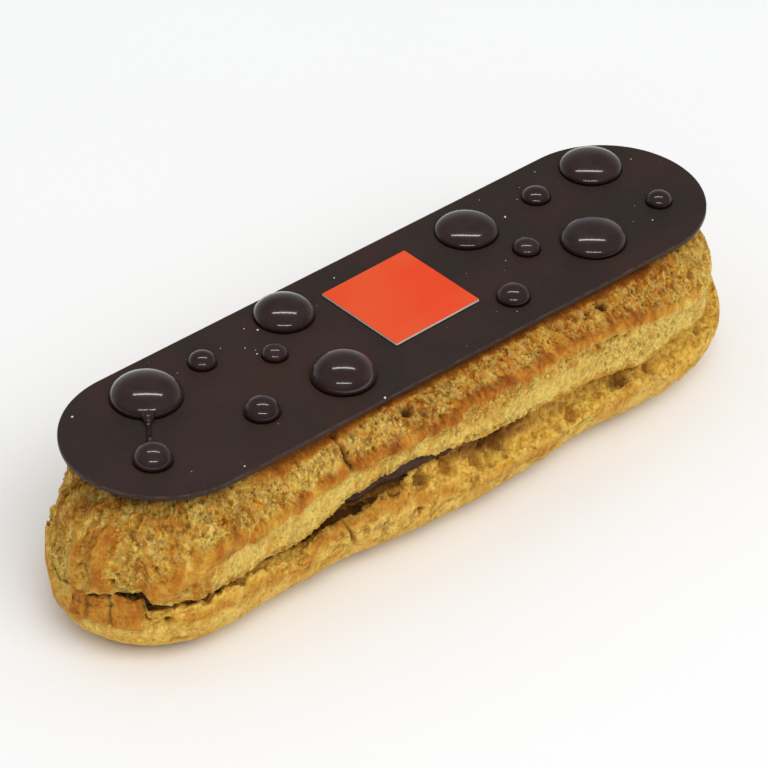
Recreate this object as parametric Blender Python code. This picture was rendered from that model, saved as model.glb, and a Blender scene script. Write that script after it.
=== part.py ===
"""Chocolate eclair: a split choux shell, its filling, a chocolate plate, drops and a tag.

Axes: +X runs along the eclair, +Y to its closed long side, +Z up. The origin is the
middle of the bounding box's base, and the flat base lies on z = 0.
Lengths below are millimetres and are turned into metres where the meshes are made.
"""

import math

import bmesh
import bpy
import numpy as np

MM = 0.001
CLEARANCE = 0.3

# Chocolate plate
PLATE_LENGTH = 140.0
PLATE_WIDTH = 36.4
PLATE_THICKNESS = 1.0
PLATE_TOP = 33.0
PLATE_EDGE = 0.25

# Choux shell, seen from above: two straight sides and two round ends
BODY_HALF_STRAIGHT = 51.3
BODY_RADIUS = 22.2
BASE_CORNER_RADIUS = 10.0
BASE_CORNER_STEPS = 5
OPEN_FROM = 0.25
OPEN_FULLY = -0.5
LEFT_END = (-48.0, -72.0)
BULGES = (
    # (x, y) on the outline, reach, height of the swelling
    ((-71.0, -10.0), 11.0, 4.5),
    ((-1.0, -22.0), 9.0, 2.2),
    ((18.0, -22.0), 9.0, 1.4),
    ((42.0, -22.0), 10.0, 1.4),
    ((-18.0, -22.0), 6.0, 0.8),
    ((-31.0, -22.0), 5.0, -0.6),
    ((-45.0, -22.0), 7.0, -0.4),
    ((-66.0, 16.0), 7.0, -1.6),
    ((-28.0, 22.0), 13.0, 1.3),
    ((22.0, 22.0), 16.0, 1.6),
    ((60.0, 18.0), 9.0, -0.6),
)

# The split between the halves, along the open side (x, height above the table)
LIP_HEIGHTS = (
    (-77.0, 12.6), (-72.5, 15.4), (-66.0, 14.2), (-51.0, 14.7), (-37.0, 14.6),
    (-24.0, 18.4), (-16.0, 19.8), (-5.0, 18.4), (14.0, 17.4), (25.0, 16.9),
    (40.0, 14.6), (52.0, 15.8), (76.0, 15.8),
)
RIM_HEIGHTS = (
    (-77.0, 11.6), (-72.0, 14.2), (-66.0, 13.0), (-50.0, 12.8), (-39.0, 11.5),
    (-30.0, 14.4), (-18.0, 16.6), (-11.0, 13.6), (4.0, 11.0), (25.0, 9.2),
    (36.0, 12.0), (50.0, 8.8), (60.0, 9.2), (76.0, 13.4),
)
SPLIT_GAP = 0.5
RIM_INSETS = (0.6, 1.2)
RIM_ROUND = 0.4
RIM_ABOVE_CORNER = 1.2
TORN_CLIMB = 0.4
SHELF_DROP = 1.8
CREAM_SHOWS_AT = -14.0
CREAM_SHOWS_REACH = 11.0
CREAM_SHOWS_DROP = 1.6
CEILING_RISE = 1.2
SHELF_INSET = 4.2
BED_INSET = 8.0
CREAM_BEVEL = 0.5
CREAM_INSETS = (1.4, 0.7)
SHELF_BRIM = (
    # (x, y) where the filling comes nearest to the edge, reach, how much nearer
    ((-16.0, -22.0), 9.0, 2.2),
    ((-72.0, -13.0), 7.0, 2.0),
)

# Upper half
TOP_STEP_RIGHT = 2.6
TOP_STEP_RUN = (55.0, 69.0)
TOP_INSET = 0.4
LIP_ROUND = 0.9
LIP_TILT = 0.4
UNDER_LIP_INSET = 2.0
UNDER_LIP_RISE = 0.1
CEILING_INSET = 0.2
WAIST_RISE = 4.2
WALL_PARTS = (0.0, 0.35, 0.7)
CROWN_STEPS = 12
CROWN_POWER = 3.3
LEFT_CROWN_POWER = 1.85
FOLDS = 1.85
FOLD_HEIGHT = 0.45
FOLD_START = 0.3

# Tag
TAG_SIDE = 19.7
TAG_THICKNESS = 0.5
TAG_PLACE = (3.4, 1.9)
TAG_TURN = math.radians(1.1)

# Chocolate drops: x, y, radius, height over radius
DROPS = (
    (56.8, 9.7, 5.92, 0.42),
    (41.6, -7.3, 6.12, 0.50),
    (26.0, 9.6, 5.92, 0.40),
    (-15.3, 11.7, 5.58, 0.55),
    (-18.9, -8.6, 5.86, 0.70),
    (-48.4, 9.1, 6.53, 0.54),
    (42.8, 9.3, 2.80, 0.65),
    (58.9, -6.3, 2.52, 0.80),
    (30.6, -1.5, 2.66, 0.70),
    (19.0, -10.7, 3.15, 0.75),
    (-35.0, 10.3, 2.66, 0.80),
    (-24.0, 3.8, 2.44, 0.80),
    (-36.0, -7.2, 3.32, 0.85),
    (-58.4, -5.3, 3.56, 0.85),
)
DROP_POWER = 2.5
DROP_RINGS = (0.0, 24.0, 50.0, 74.0)

# Mesh resolution
SIDE_STEPS = 30
END_STEPS = 20
DROP_SIDES = 18
PLATE_SIDE_STEPS = 12
PLATE_END_STEPS = 24
SHARP_ANGLE = math.radians(40.0)


def ease(value, start, end):
    """0 where value is at start, 1 where it is at end, level at both."""
    t = min(max((value - start) / (end - start), 0.0), 1.0)
    return t * t * (3.0 - 2.0 * t)


def between(points, x):
    """Height of a smooth curve through (x, height) points, level at each of them."""
    xs = [p[0] for p in points]
    x = min(max(x, xs[0]), xs[-1])
    k = max(i for i in range(len(xs) - 1) if xs[i] <= x)
    t = ease(x, xs[k], xs[k + 1])
    return points[k][1] * (1.0 - t) + points[k + 1][1] * t


def swelling(spots, x, y):
    """Sum of round swellings, each (place, reach, height), at the point (x, y)."""
    total = 0.0
    for (sx, sy), reach, height in spots:
        total += height * math.exp(-((x - sx) ** 2 + (y - sy) ** 2) / (2.0 * reach * reach))
    return total


class Station:
    """One place on the outline: its point on the middle line and its outward direction."""

    def __init__(self, middle_x, angle):
        self.middle_x = middle_x
        self.cos = math.cos(angle)
        self.sin = math.sin(angle)

    def at(self, offset):
        """Point (x, y) that lies offset outward from the middle line."""
        return self.middle_x + offset * self.cos, offset * self.sin

    def open_side(self):
        """1 on the open front, 0 on the closed back, smooth between."""
        return ease(self.sin, OPEN_FROM, OPEN_FULLY)

    def radius(self):
        """Distance from the middle line to the outline of the shell."""
        return BODY_RADIUS + swelling(BULGES, *self.at(BODY_RADIUS))

    def top_radius(self):
        """Outline of the upper half, which stops short of the base at the right end."""
        step = TOP_STEP_RIGHT * ease(self.at(BODY_RADIUS)[0], *TOP_STEP_RUN)
        return self.radius() - TOP_INSET - step

    def left_end(self):
        """1 at the left end's tip, 0 along the sides and at the right end."""
        return ease(self.at(BODY_RADIUS)[0], *LEFT_END)

    def shelf_offset(self):
        """Where the torn edge ends and the level bed of the filling begins."""
        return self.top_radius() - SHELF_INSET + swelling(SHELF_BRIM, *self.at(BODY_RADIUS))

    def lip_height(self, offset):
        """Height of the upper half's lower edge."""
        return between(LIP_HEIGHTS, self.at(offset)[0])

    def rim_height(self, offset):
        """Height of the base's torn edge: open at the front, closed at the back."""
        x = self.at(offset)[0]
        closed = between(LIP_HEIGHTS, x) - SPLIT_GAP
        front = min(between(RIM_HEIGHTS, x), closed)
        return closed + (front - closed) * self.open_side()


def stadium(half_straight, side_steps, end_steps):
    """Stations round a stadium: front, right end, back, left end."""
    stations = []
    for side, angle in ((1.0, -0.5), (-1.0, 0.5)):
        for i in range(side_steps):
            x = side * (-half_straight + 2.0 * half_straight * i / side_steps)
            stations.append(Station(x, angle * math.pi))
        for i in range(end_steps):
            turn = angle + i / end_steps
            stations.append(Station(side * half_straight, turn * math.pi))
    return stations


class Loft:
    """A closed body made of rings of points round a middle line, from its base to its crown."""

    def __init__(self, stations, shift):
        self.stations = stations
        self.shift = shift
        self.mesh = bmesh.new()
        self.rings = []

    def vertex(self, x, y, z):
        """Add one point given in millimetres."""
        return self.mesh.verts.new(((x - self.shift[0]) * MM, (y - self.shift[1]) * MM, z * MM))

    def ring(self, place):
        """Add a ring: place(station) gives the offset outward and the height."""
        verts = []
        for station in self.stations:
            offset, z = place(station)
            x, y = station.at(offset)
            verts.append(self.vertex(x, y, z))
        self.rings.append(verts)

    def middle(self, height):
        """Add the middle line as a ring whose two sides share their points."""
        shared = {}
        verts = []
        for station in self.stations:
            key = round(station.middle_x, 4)
            if key not in shared:
                shared[key] = self.vertex(station.middle_x, 0.0, height(station))
            verts.append(shared[key])
        self.rings.append(verts)

    def skin(self):
        """Join each ring to the next with faces."""
        count = len(self.stations)
        for low, high in zip(self.rings, self.rings[1:]):
            for i in range(count):
                j = (i + 1) % count
                corners = []
                for vert in (low[i], low[j], high[j], high[i]):
                    if vert not in corners:
                        corners.append(vert)
                if len(corners) > 2:
                    self.mesh.faces.new(corners)

    def finish(self, name, material):
        """Skin the rings and return the body as an object."""
        self.skin()
        return make_object(name, self.mesh, material)


def make_object(name, mesh, material):
    """Turn a bmesh into a smooth-shaded object with one material."""
    bmesh.ops.triangulate(mesh, faces=mesh.faces[:])
    bmesh.ops.recalc_face_normals(mesh, faces=mesh.faces[:])
    data = bpy.data.meshes.new(name)
    mesh.to_mesh(data)
    mesh.free()
    data.shade_smooth()
    data.set_sharp_from_angle(angle=SHARP_ANGLE)
    data.materials.append(material)
    body = bpy.data.objects.new(name, data)
    bpy.context.scene.collection.objects.link(body)
    return body


def make_material(name, color, roughness):
    """A plain Principled material."""
    material = bpy.data.materials.new(name)
    material.use_nodes = True
    shader = material.node_tree.nodes["Principled BSDF"]
    shader.inputs["Base Color"].default_value = (*color, 1.0)
    shader.inputs["Roughness"].default_value = roughness
    shader.inputs["Metallic"].default_value = 0.0
    return material


def shelf_height(x):
    """Height of the base's bed for the filling, lower where the filling shows at the side."""
    reach = (x - CREAM_SHOWS_AT) / CREAM_SHOWS_REACH
    return between(LIP_HEIGHTS, x) - SHELF_DROP - CREAM_SHOWS_DROP * math.exp(-reach * reach)


def ceiling_height(x):
    """Height of the upper half's underside."""
    return between(LIP_HEIGHTS, x) + CEILING_RISE


def level(inset, height, gap):
    """A ring of the filling's bed: inset from its edge, at a height that follows the split."""
    def place(s):
        offset = s.shelf_offset() - inset
        return offset, height(s.at(offset)[0]) + gap
    return place


def choux_base(stations, shift, material):
    """Lower half: flat underneath, rounded up to a torn rim, with a bed for the filling."""
    loft = Loft(stations, shift)
    loft.middle(lambda s: 0.0)
    loft.ring(lambda s: (s.radius() - BASE_CORNER_RADIUS, 0.0))
    for i in range(1, BASE_CORNER_STEPS + 1):
        turn = 0.5 * math.pi * i / BASE_CORNER_STEPS

        def corner(s, turn=turn):
            rise = min(BASE_CORNER_RADIUS, s.rim_height(s.radius()) - RIM_ABOVE_CORNER)
            offset = s.radius() - BASE_CORNER_RADIUS * (1.0 - math.sin(turn))
            return offset, rise * (1.0 - math.cos(turn))

        loft.ring(corner)
    outer, inner = RIM_INSETS
    loft.ring(lambda s: (s.radius() - outer, s.rim_height(s.radius()) - RIM_ROUND))
    loft.ring(lambda s: (s.radius() - inner, s.rim_height(s.radius())))

    def torn(s):
        offset = 0.5 * (s.radius() - inner + s.shelf_offset())
        low = s.rim_height(offset)
        high = max(low, shelf_height(s.at(offset)[0]))
        return offset, low + (high - low) * TORN_CLIMB * s.open_side()

    loft.ring(torn)
    loft.ring(level(0.0, shelf_height, 0.0))
    loft.ring(level(BED_INSET, shelf_height, 0.0))
    loft.middle(lambda s: shelf_height(s.middle_x))
    return loft.finish("choux_base", material)


def filling(stations, shift, material):
    """Chocolate cream that runs through between the halves, nearer the edge where it shows."""
    low, high = CLEARANCE, -CLEARANCE
    flat, side = CREAM_INSETS
    loft = Loft(stations, shift)
    loft.middle(lambda s: shelf_height(s.middle_x) + low)
    loft.ring(level(BED_INSET, shelf_height, low))
    loft.ring(level(flat, shelf_height, low))
    loft.ring(level(side, shelf_height, low + CREAM_BEVEL))
    loft.ring(level(side, ceiling_height, high - CREAM_BEVEL))
    loft.ring(level(flat, ceiling_height, high))
    loft.ring(level(BED_INSET, ceiling_height, high))
    loft.middle(lambda s: ceiling_height(s.middle_x) + high)
    return loft.finish("filling", material)


def fold(up):
    """Swelling of the piped folds, where up runs from 0 at the lip to 1 at the crown."""
    return FOLD_HEIGHT * math.cos(2.0 * math.pi * FOLDS * up)


def crown_ring(crown, turn):
    """A ring of the dome: turn runs from 0 at its waist to a quarter turn at its crown."""
    def place(s):
        lip = s.lip_height(s.top_radius())
        waist = lip + WAIST_RISE
        power = CROWN_POWER + (LEFT_CROWN_POWER - CROWN_POWER) * s.left_end()
        out = math.cos(turn) ** (2.0 / power)
        height = waist + (crown - waist) * math.sin(turn) ** (2.0 / power)
        swell = fold((height - lip) / (crown - lip)) * out
        return s.top_radius() * out + swell, height
    return place


def wall_ring(crown, part):
    """A ring of the upright wall between the lip, at part 0, and the waist, at part 1."""
    def place(s):
        lip = s.lip_height(s.top_radius())
        height = lip + LIP_ROUND + (WAIST_RISE - LIP_ROUND) * part
        swell = fold((height - lip) / (crown - lip)) * min(1.0, part + FOLD_START)
        return s.top_radius() - LIP_TILT * LIP_ROUND * (1.0 - part) + swell, height
    return place


def choux_top(stations, shift, material):
    """Upper half: a lip that curls in, piped folds along its side, and a broad low crown."""
    crown = PLATE_TOP - PLATE_THICKNESS - CLEARANCE
    loft = Loft(stations, shift)
    loft.middle(lambda s: ceiling_height(s.middle_x))
    loft.ring(level(BED_INSET, ceiling_height, 0.0))
    loft.ring(level(CEILING_INSET, ceiling_height, 0.0))

    def under_lip(s):
        offset = s.top_radius() - UNDER_LIP_INSET
        return offset, s.lip_height(offset) + UNDER_LIP_RISE

    loft.ring(under_lip)
    loft.ring(lambda s: (s.top_radius() - LIP_ROUND, s.lip_height(s.top_radius())))
    for part in WALL_PARTS:
        loft.ring(wall_ring(crown, part))
    for i in range(CROWN_STEPS):
        loft.ring(crown_ring(crown, 0.5 * math.pi * i / CROWN_STEPS))
    loft.middle(lambda s: crown)
    return loft.finish("choux_top", material)


def chocolate_plate(shift, material):
    """Thin stadium of chocolate with slightly rounded edges."""
    radius = 0.5 * PLATE_WIDTH
    stations = stadium(0.5 * PLATE_LENGTH - radius, PLATE_SIDE_STEPS, PLATE_END_STEPS)
    loft = Loft(stations, shift)
    low = PLATE_TOP - PLATE_THICKNESS
    loft.middle(lambda s: low)
    loft.ring(lambda s: (radius - PLATE_EDGE, low))
    loft.ring(lambda s: (radius, low + PLATE_EDGE))
    loft.ring(lambda s: (radius, PLATE_TOP - PLATE_EDGE))
    loft.ring(lambda s: (radius - PLATE_EDGE, PLATE_TOP))
    loft.middle(lambda s: PLATE_TOP)
    return loft.finish("chocolate_plate", material)


def tag(shift, material):
    """Square card lying on the plate, turned a little."""
    mesh = bmesh.new()
    bmesh.ops.create_cube(mesh, size=1.0)
    bmesh.ops.scale(mesh, vec=(TAG_SIDE * MM, TAG_SIDE * MM, TAG_THICKNESS * MM), verts=mesh.verts)
    body = make_object("tag", mesh, material)
    body.location = (
        (TAG_PLACE[0] - shift[0]) * MM,
        (TAG_PLACE[1] - shift[1]) * MM,
        (PLATE_TOP + CLEARANCE + 0.5 * TAG_THICKNESS) * MM,
    )
    body.rotation_euler = (0.0, 0.0, TAG_TURN)
    return body


def drop(name, x, y, radius, slenderness, shift, material):
    """One drop of chocolate: steep at its rim and flattened on top."""
    stations = stadium(0.0, 0, DROP_SIDES // 2)
    loft = Loft(stations, (0.0, 0.0))
    height = radius * slenderness
    loft.middle(lambda s: 0.0)
    for degrees in DROP_RINGS:
        turn = math.radians(degrees)
        out = radius * math.cos(turn) ** (2.0 / DROP_POWER)
        up = height * math.sin(turn) ** (2.0 / DROP_POWER)
        loft.ring(lambda s, out=out, up=up: (out, up))
    loft.middle(lambda s: height)
    body = loft.finish(name, material)
    body.location = ((x - shift[0]) * MM, (y - shift[1]) * MM, (PLATE_TOP + CLEARANCE) * MM)
    return body


def box_centre(stations):
    """Middle of the shell's bounding box in x and y, where the origin goes."""
    points = np.array([s.at(s.radius()) for s in stations])
    centre = 0.5 * (points.min(axis=0) + points.max(axis=0))
    return float(centre[0]), float(centre[1])


def clear_scene():
    """Remove whatever the scene holds."""
    for item in list(bpy.data.objects):
        bpy.data.objects.remove(item, do_unlink=True)


def main():
    """Build every piece."""
    clear_scene()
    stations = stadium(BODY_HALF_STRAIGHT, SIDE_STEPS, END_STEPS)
    shift = box_centre(stations)
    crust = make_material("choux_crust", (0.50, 0.27, 0.07), 0.65)
    crumb = make_material("choux_crumb", (0.62, 0.40, 0.12), 0.70)
    cream = make_material("chocolate_cream", (0.045, 0.020, 0.016), 0.40)
    dark = make_material("dark_chocolate", (0.040, 0.026, 0.023), 0.38)
    glossy = make_material("glossy_chocolate", (0.030, 0.017, 0.017), 0.12)
    card = make_material("orange_card", (0.75, 0.10, 0.03), 0.45)
    choux_base(stations, shift, crumb)
    filling(stations, shift, cream)
    choux_top(stations, shift, crust)
    chocolate_plate(shift, dark)
    tag(shift, card)
    for number, (x, y, radius, slenderness) in enumerate(DROPS, start=1):
        drop(f"drop_{number:02d}", x, y, radius, slenderness, shift, glossy)


main()
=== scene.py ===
"""Looks of the chocolate eclair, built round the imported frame.

Lengths in the classes are millimetres in the frame's own axes: +X along the eclair,
-Y towards the open long side, +Z up. Meshes are turned into metres when they are made.
"""

import logging
import math
from collections.abc import Callable
from dataclasses import dataclass, field
from enum import Enum, IntEnum
from itertools import product
from typing import ClassVar

import bmesh
import bpy
import numpy as np
from mathutils import Matrix, Vector


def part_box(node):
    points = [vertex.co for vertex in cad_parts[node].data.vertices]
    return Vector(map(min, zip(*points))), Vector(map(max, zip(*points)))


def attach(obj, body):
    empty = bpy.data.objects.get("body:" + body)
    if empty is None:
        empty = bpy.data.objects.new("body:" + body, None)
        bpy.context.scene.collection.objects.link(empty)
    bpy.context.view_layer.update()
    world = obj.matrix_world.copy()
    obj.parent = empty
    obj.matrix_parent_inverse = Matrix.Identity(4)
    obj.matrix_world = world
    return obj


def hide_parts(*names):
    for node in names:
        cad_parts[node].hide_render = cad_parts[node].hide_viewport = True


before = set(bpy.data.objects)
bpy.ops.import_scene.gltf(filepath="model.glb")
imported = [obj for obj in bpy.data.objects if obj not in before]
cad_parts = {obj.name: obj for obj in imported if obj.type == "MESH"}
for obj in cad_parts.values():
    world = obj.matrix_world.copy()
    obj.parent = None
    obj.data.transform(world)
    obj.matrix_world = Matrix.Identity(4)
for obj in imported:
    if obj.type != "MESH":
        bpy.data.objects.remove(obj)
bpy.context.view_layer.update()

MM = 0.001
BEVEL_FROM = math.radians(50.0)
SHARP_FROM = math.radians(40.0)
QUARTER_TURN = 0.5 * math.pi
TAG_GAP = 0.15
LOG = logging.getLogger("eclair")

Array = np.ndarray
Piece = bpy.types.Object
Colour = tuple[float, float, float]
Point = tuple[float, float, float]
Pair = tuple[float, float]
Shades = tuple[Colour, Colour]
Rings = tuple[Array, Array]


class Draw(IntEnum):
    """Seeds: which random field each mark is drawn from."""

    TEAR = 11
    CRUST_WARP = 51
    WRINKLE = 61
    BARK = 71
    CRUST_GRIT = 81
    CRUST_LUMPS = 91
    FISSURE = 101
    CRUST_PORE = 111
    PINHOLE = 121
    SCALE = 131
    GILT = 141
    RIM = 211
    CRUMB_WARP = 251
    CRUMB_LUMPS = 261
    CRUMB_GRIT = 271
    CRUMB_PORE = 281
    BUBBLE = 291
    CRUMBLE = 301
    CRISP = 311
    CREAM_FACE = 321
    HAIRLINE = 331
    HAIRLINE_PATCH = 341
    DUST = 401
    FLAKES = 501
    CRUMBS = 511


# ---------------------------------------------------------------- random fields


HASH_AXES = (0x8DA6B343, 0xD8163841, 0xCB1AB31F)
HASH_SEED = 0x9E3779B1
HASH_ROUNDS = ((15, 0x2C1B3C6D), (12, 0x297A2D39))
LAST_SHIFT = 15
WORD = 0xFFFFFFFF


def scramble(cell: Array, seed: int) -> Array:
    """Turn whole lattice points into evenly spread 32-bit numbers.

    Args:
        cell: Whole numbers, one row of three for each point.
        seed: Which of the fields to draw.

    Returns:
        One unsigned number for each row.
    """
    grid = cell.astype(np.int64).astype(np.uint32)
    mixed = np.full(len(grid), (int(seed) * HASH_SEED) & WORD, dtype=np.uint32)
    for axis, factor in enumerate(HASH_AXES):
        mixed ^= grid[:, axis] * np.uint32(factor)
    for shift, factor in HASH_ROUNDS:
        mixed ^= mixed >> np.uint32(shift)
        mixed *= np.uint32(factor)
    return mixed ^ (mixed >> np.uint32(LAST_SHIFT))


def spread(mixed: Array) -> Array:
    """Split each 32-bit number into three numbers from 0 to 1."""
    parts = [(mixed >> np.uint32(shift)) & np.uint32(1023) for shift in (0, 11, 22)]
    return np.stack(parts, axis=1) / 1023.0


WAVE_HEIGHT = 1.9


def swell(points: Array, size: float, seed: int) -> Array:
    """Smooth random waves.

    Args:
        points: Places, one row each.
        size: Length of a wave, in the unit of the points.
        seed: Which of the fields to draw.

    Returns:
        One number for each place, mostly between -1 and 1.
    """
    scaled = points / size
    cell = np.floor(scaled)
    part = scaled - cell
    fade = part ** 3 * (part * (part * 6.0 - 15.0) + 10.0)
    total = np.zeros(len(points))
    for corner in product((0.0, 1.0), repeat=3):
        step = np.array(corner)
        slope = spread(scramble(cell + step, seed)) * 2.0 - 1.0
        weight = np.prod(np.where(step > 0.5, fade, 1.0 - fade), axis=1)
        total += weight * np.sum(slope * (part - step), axis=1)
    return total * WAVE_HEIGHT


def layered(points: Array, size: float, seed: int, octaves: int = 3) -> Array:
    """Waves with finer waves on them, each octave half the size and half the height."""
    total = np.zeros(len(points))
    for octave in range(octaves):
        total += swell(points, size / 2 ** octave, seed + 17 * octave) / 2 ** octave
    return total


def creased(points: Array, size: float, seed: int, octaves: int = 2) -> Array:
    """Sharp crests with round valleys between, from 0 to about 1."""
    total = np.zeros(len(points))
    for octave in range(octaves):
        crest = 1.0 - np.abs(swell(points, size / 2 ** octave, seed + 29 * octave))
        total += np.clip(crest, 0.0, 1.0) ** 2 / 2 ** octave
    return total / (2.0 - 0.5 ** (octaves - 1))


def scattered(points: Array, size: float, seed: int) -> tuple[Array, ...]:
    """Distances to scattered middles, one in each lattice cell.

    Args:
        points: Places, one row each.
        size: Side of a lattice cell.
        seed: Which of the fields to draw.

    Returns:
        Distance to the nearest middle, to the second nearest, both in cells, and a
        number from 0 to 1 that belongs to the nearest one.
    """
    scaled = points / size
    cell = np.floor(scaled)
    first = np.full(len(points), 9.0)
    second = np.full(len(points), 9.0)
    owner = np.zeros(len(points))
    for step in product((-1.0, 0.0, 1.0), repeat=3):
        corner = cell + np.array(step)
        mixed = scramble(corner, seed)
        away = np.linalg.norm(corner + spread(mixed) - scaled, axis=1)
        nearer = away < first
        second = np.where(nearer, first, np.minimum(second, away))
        owner = np.where(nearer, (mixed % np.uint32(997)) / 996.0, owner)
        first = np.minimum(first, away)
    return first, second, owner


def ease(value: Array, low: float, high: float) -> Array:
    """0 at low, 1 at high and level at both."""
    part = np.clip((value - low) / (high - low), 0.0, 1.0)
    return part * part * (3.0 - 2.0 * part)


def hump(value: Array, middle: float, width: float) -> Array:
    """1 at the middle, falling like a bell's sides to 0 at about twice the width."""
    return np.exp(-(((value - middle) / width) ** 2))


def share(value: Array) -> Array:
    """Keep a share from 0 to 1."""
    return np.clip(value, 0.0, 1.0)


def stirred(points: Array, size: float, seed: int) -> Array:
    """Three waves at each place, which bend the marks that are drawn there."""
    return np.stack([layered(points, size, seed + axis, 2) for axis in range(3)], axis=1)


def pits(points: Array, size: float, seed: int, reach: Pair, chosen: Pair) -> Array:
    """Round pits in some of the lattice cells.

    Args:
        points: Places, one row each.
        size: Side of a lattice cell.
        seed: Which of the fields to draw.
        reach: Distances, in cells, at which a pit begins to rise and where it ends.
        chosen: Shares of the cells that have no pit at all and that have a full one.

    Returns:
        1 at the bottom of a pit and 0 outside.
    """
    near, _, kind = scattered(points, size, seed)
    return (1.0 - ease(near, *reach)) * ease(kind, *chosen)


def through(points: tuple[Pair, ...], x: Array) -> Array:
    """Height of a curve through (x, height) points that is level at each of them."""
    xs = np.array([p[0] for p in points])
    heights = np.array([p[1] for p in points])
    x = np.clip(x, xs[0], xs[-1])
    k = np.clip(np.searchsorted(xs, x, side="right") - 1, 0, len(xs) - 2)
    part = ease(x, xs[k], xs[k + 1])
    return heights[k] * (1.0 - part) + heights[k + 1] * part


def borders(points: Array, size: float, seed: int, width: Pair) -> Rings:
    """Lines between lattice cells.

    Args:
        points: Places, one row each.
        size: Side of a lattice cell.
        seed: Which of the fields to draw.
        width: Distances, in cells, at which a line begins to fade and where it ends.

    Returns:
        1 on a line and 0 off it, and a number from 0 to 1 that belongs to each cell.
    """
    first, second, owner = scattered(points, size, seed)
    return 1.0 - ease(second - first, *width), owner


def softened(values: Array, padding: object = 1) -> Array:
    """Even out each value along the first axis with its two neighbours."""
    padded = np.pad(values, padding, mode="edge")
    return 0.25 * padded[:-2] + 0.5 * values + 0.25 * padded[2:]


def within(value: Array, start: Pair, end: Pair) -> Array:
    """1 between two eased ends and 0 outside them."""
    return ease(value, *start) * (1.0 - ease(value, *end))


def upright(points: Array, height: float) -> Array:
    """Places with their height scaled down, where marks come out taller than wide."""
    return points * np.array([1.0, 1.0, height])


# ---------------------------------------------------------------- marks in the dough


@dataclass(frozen=True)
class Hollow:
    """A burst bubble: its middle, its reach, its depth and how strong the painted shade inside it
    is.
    """

    middle: Point
    reach: float
    depth: float
    # brown: strength of the painted shade inside the bubble; it darkens, and in the lower half also
    # browns.
    brown: float
    floor: float = 0.35

    def nearness(self, points: Array) -> Array:
        """1 on the level floor in the middle, 0 at the reach and beyond."""
        away = np.linalg.norm(points - np.array(self.middle), axis=1) / self.reach
        return 1.0 - ease(away, self.floor, 1.0)


@dataclass(frozen=True)
class Line:
    """A crack, groove or ridge that runs through points, with its half width and height."""

    path: tuple[Point, ...]
    width: float
    height: float
    flat: float = 2.0

    def distance(self, points: Array) -> Array:
        """Shortest distance from each point to the line."""
        nearest = np.full(len(points), 1e9)
        for start, end in zip(self.path, self.path[1:]):
            a = np.array(start)
            along = np.array(end) - a
            part = np.clip((points - a) @ along / (along @ along), 0.0, 1.0)
            away = np.linalg.norm(points - a - part[:, None] * along, axis=1)
            nearest = np.minimum(nearest, away)
        return nearest

    def strength(self, points: Array) -> Array:
        """1 on the line, falling to 0 at about twice the half width; steeper if flat."""
        return np.exp(-((self.distance(points) / self.width) ** self.flat))


@dataclass(frozen=True)
class Ridge(Line):
    """A baked ridge: a line with a flat top and steep sides."""

    flat: float = 4.0


@dataclass(frozen=True)
class Spot:
    """A round swelling of the outline: its place, its reach and its height."""

    x: float
    y: float
    reach: float
    height: float


@dataclass(frozen=True)
class Marks:
    """Cracks and burst bubbles, with how far the warp bends each kind."""

    cracks: tuple[Line, ...]
    hollows: tuple[Hollow, ...]
    crack_bend: float
    hollow_bend: float

    def cut(self, points: Array, warp: Array) -> Rings:
        """Height of the cracks and where they are, from 0 to 1."""
        height = np.zeros(len(points))
        where = np.zeros(len(points))
        for crack in self.cracks:
            strength = crack.strength(points + self.crack_bend * warp)
            height += crack.height * strength
            where = np.maximum(where, strength)
        return height, where

    def burst(self, points: Array, warp: Array) -> Rings:
        """Height of the bubbles and how strong the painted shade is at each place in them."""
        height = np.zeros(len(points))
        brown = np.zeros(len(points))
        for hollow in self.hollows:
            nearness = hollow.nearness(points + self.hollow_bend * warp)
            height -= hollow.depth * nearness
            brown = np.maximum(brown, hollow.brown * nearness)
        return height, brown


def swollen(spots: tuple[Spot, ...], x: Array, y: Array) -> Array:
    """Sum of the round swellings at each place."""
    total = np.zeros_like(x)
    for spot in spots:
        away = (x - spot.x) ** 2 + (y - spot.y) ** 2
        total += spot.height * np.exp(-away / (2.0 * spot.reach ** 2))
    return total


# ---------------------------------------------------------------- plan of the shell


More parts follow.
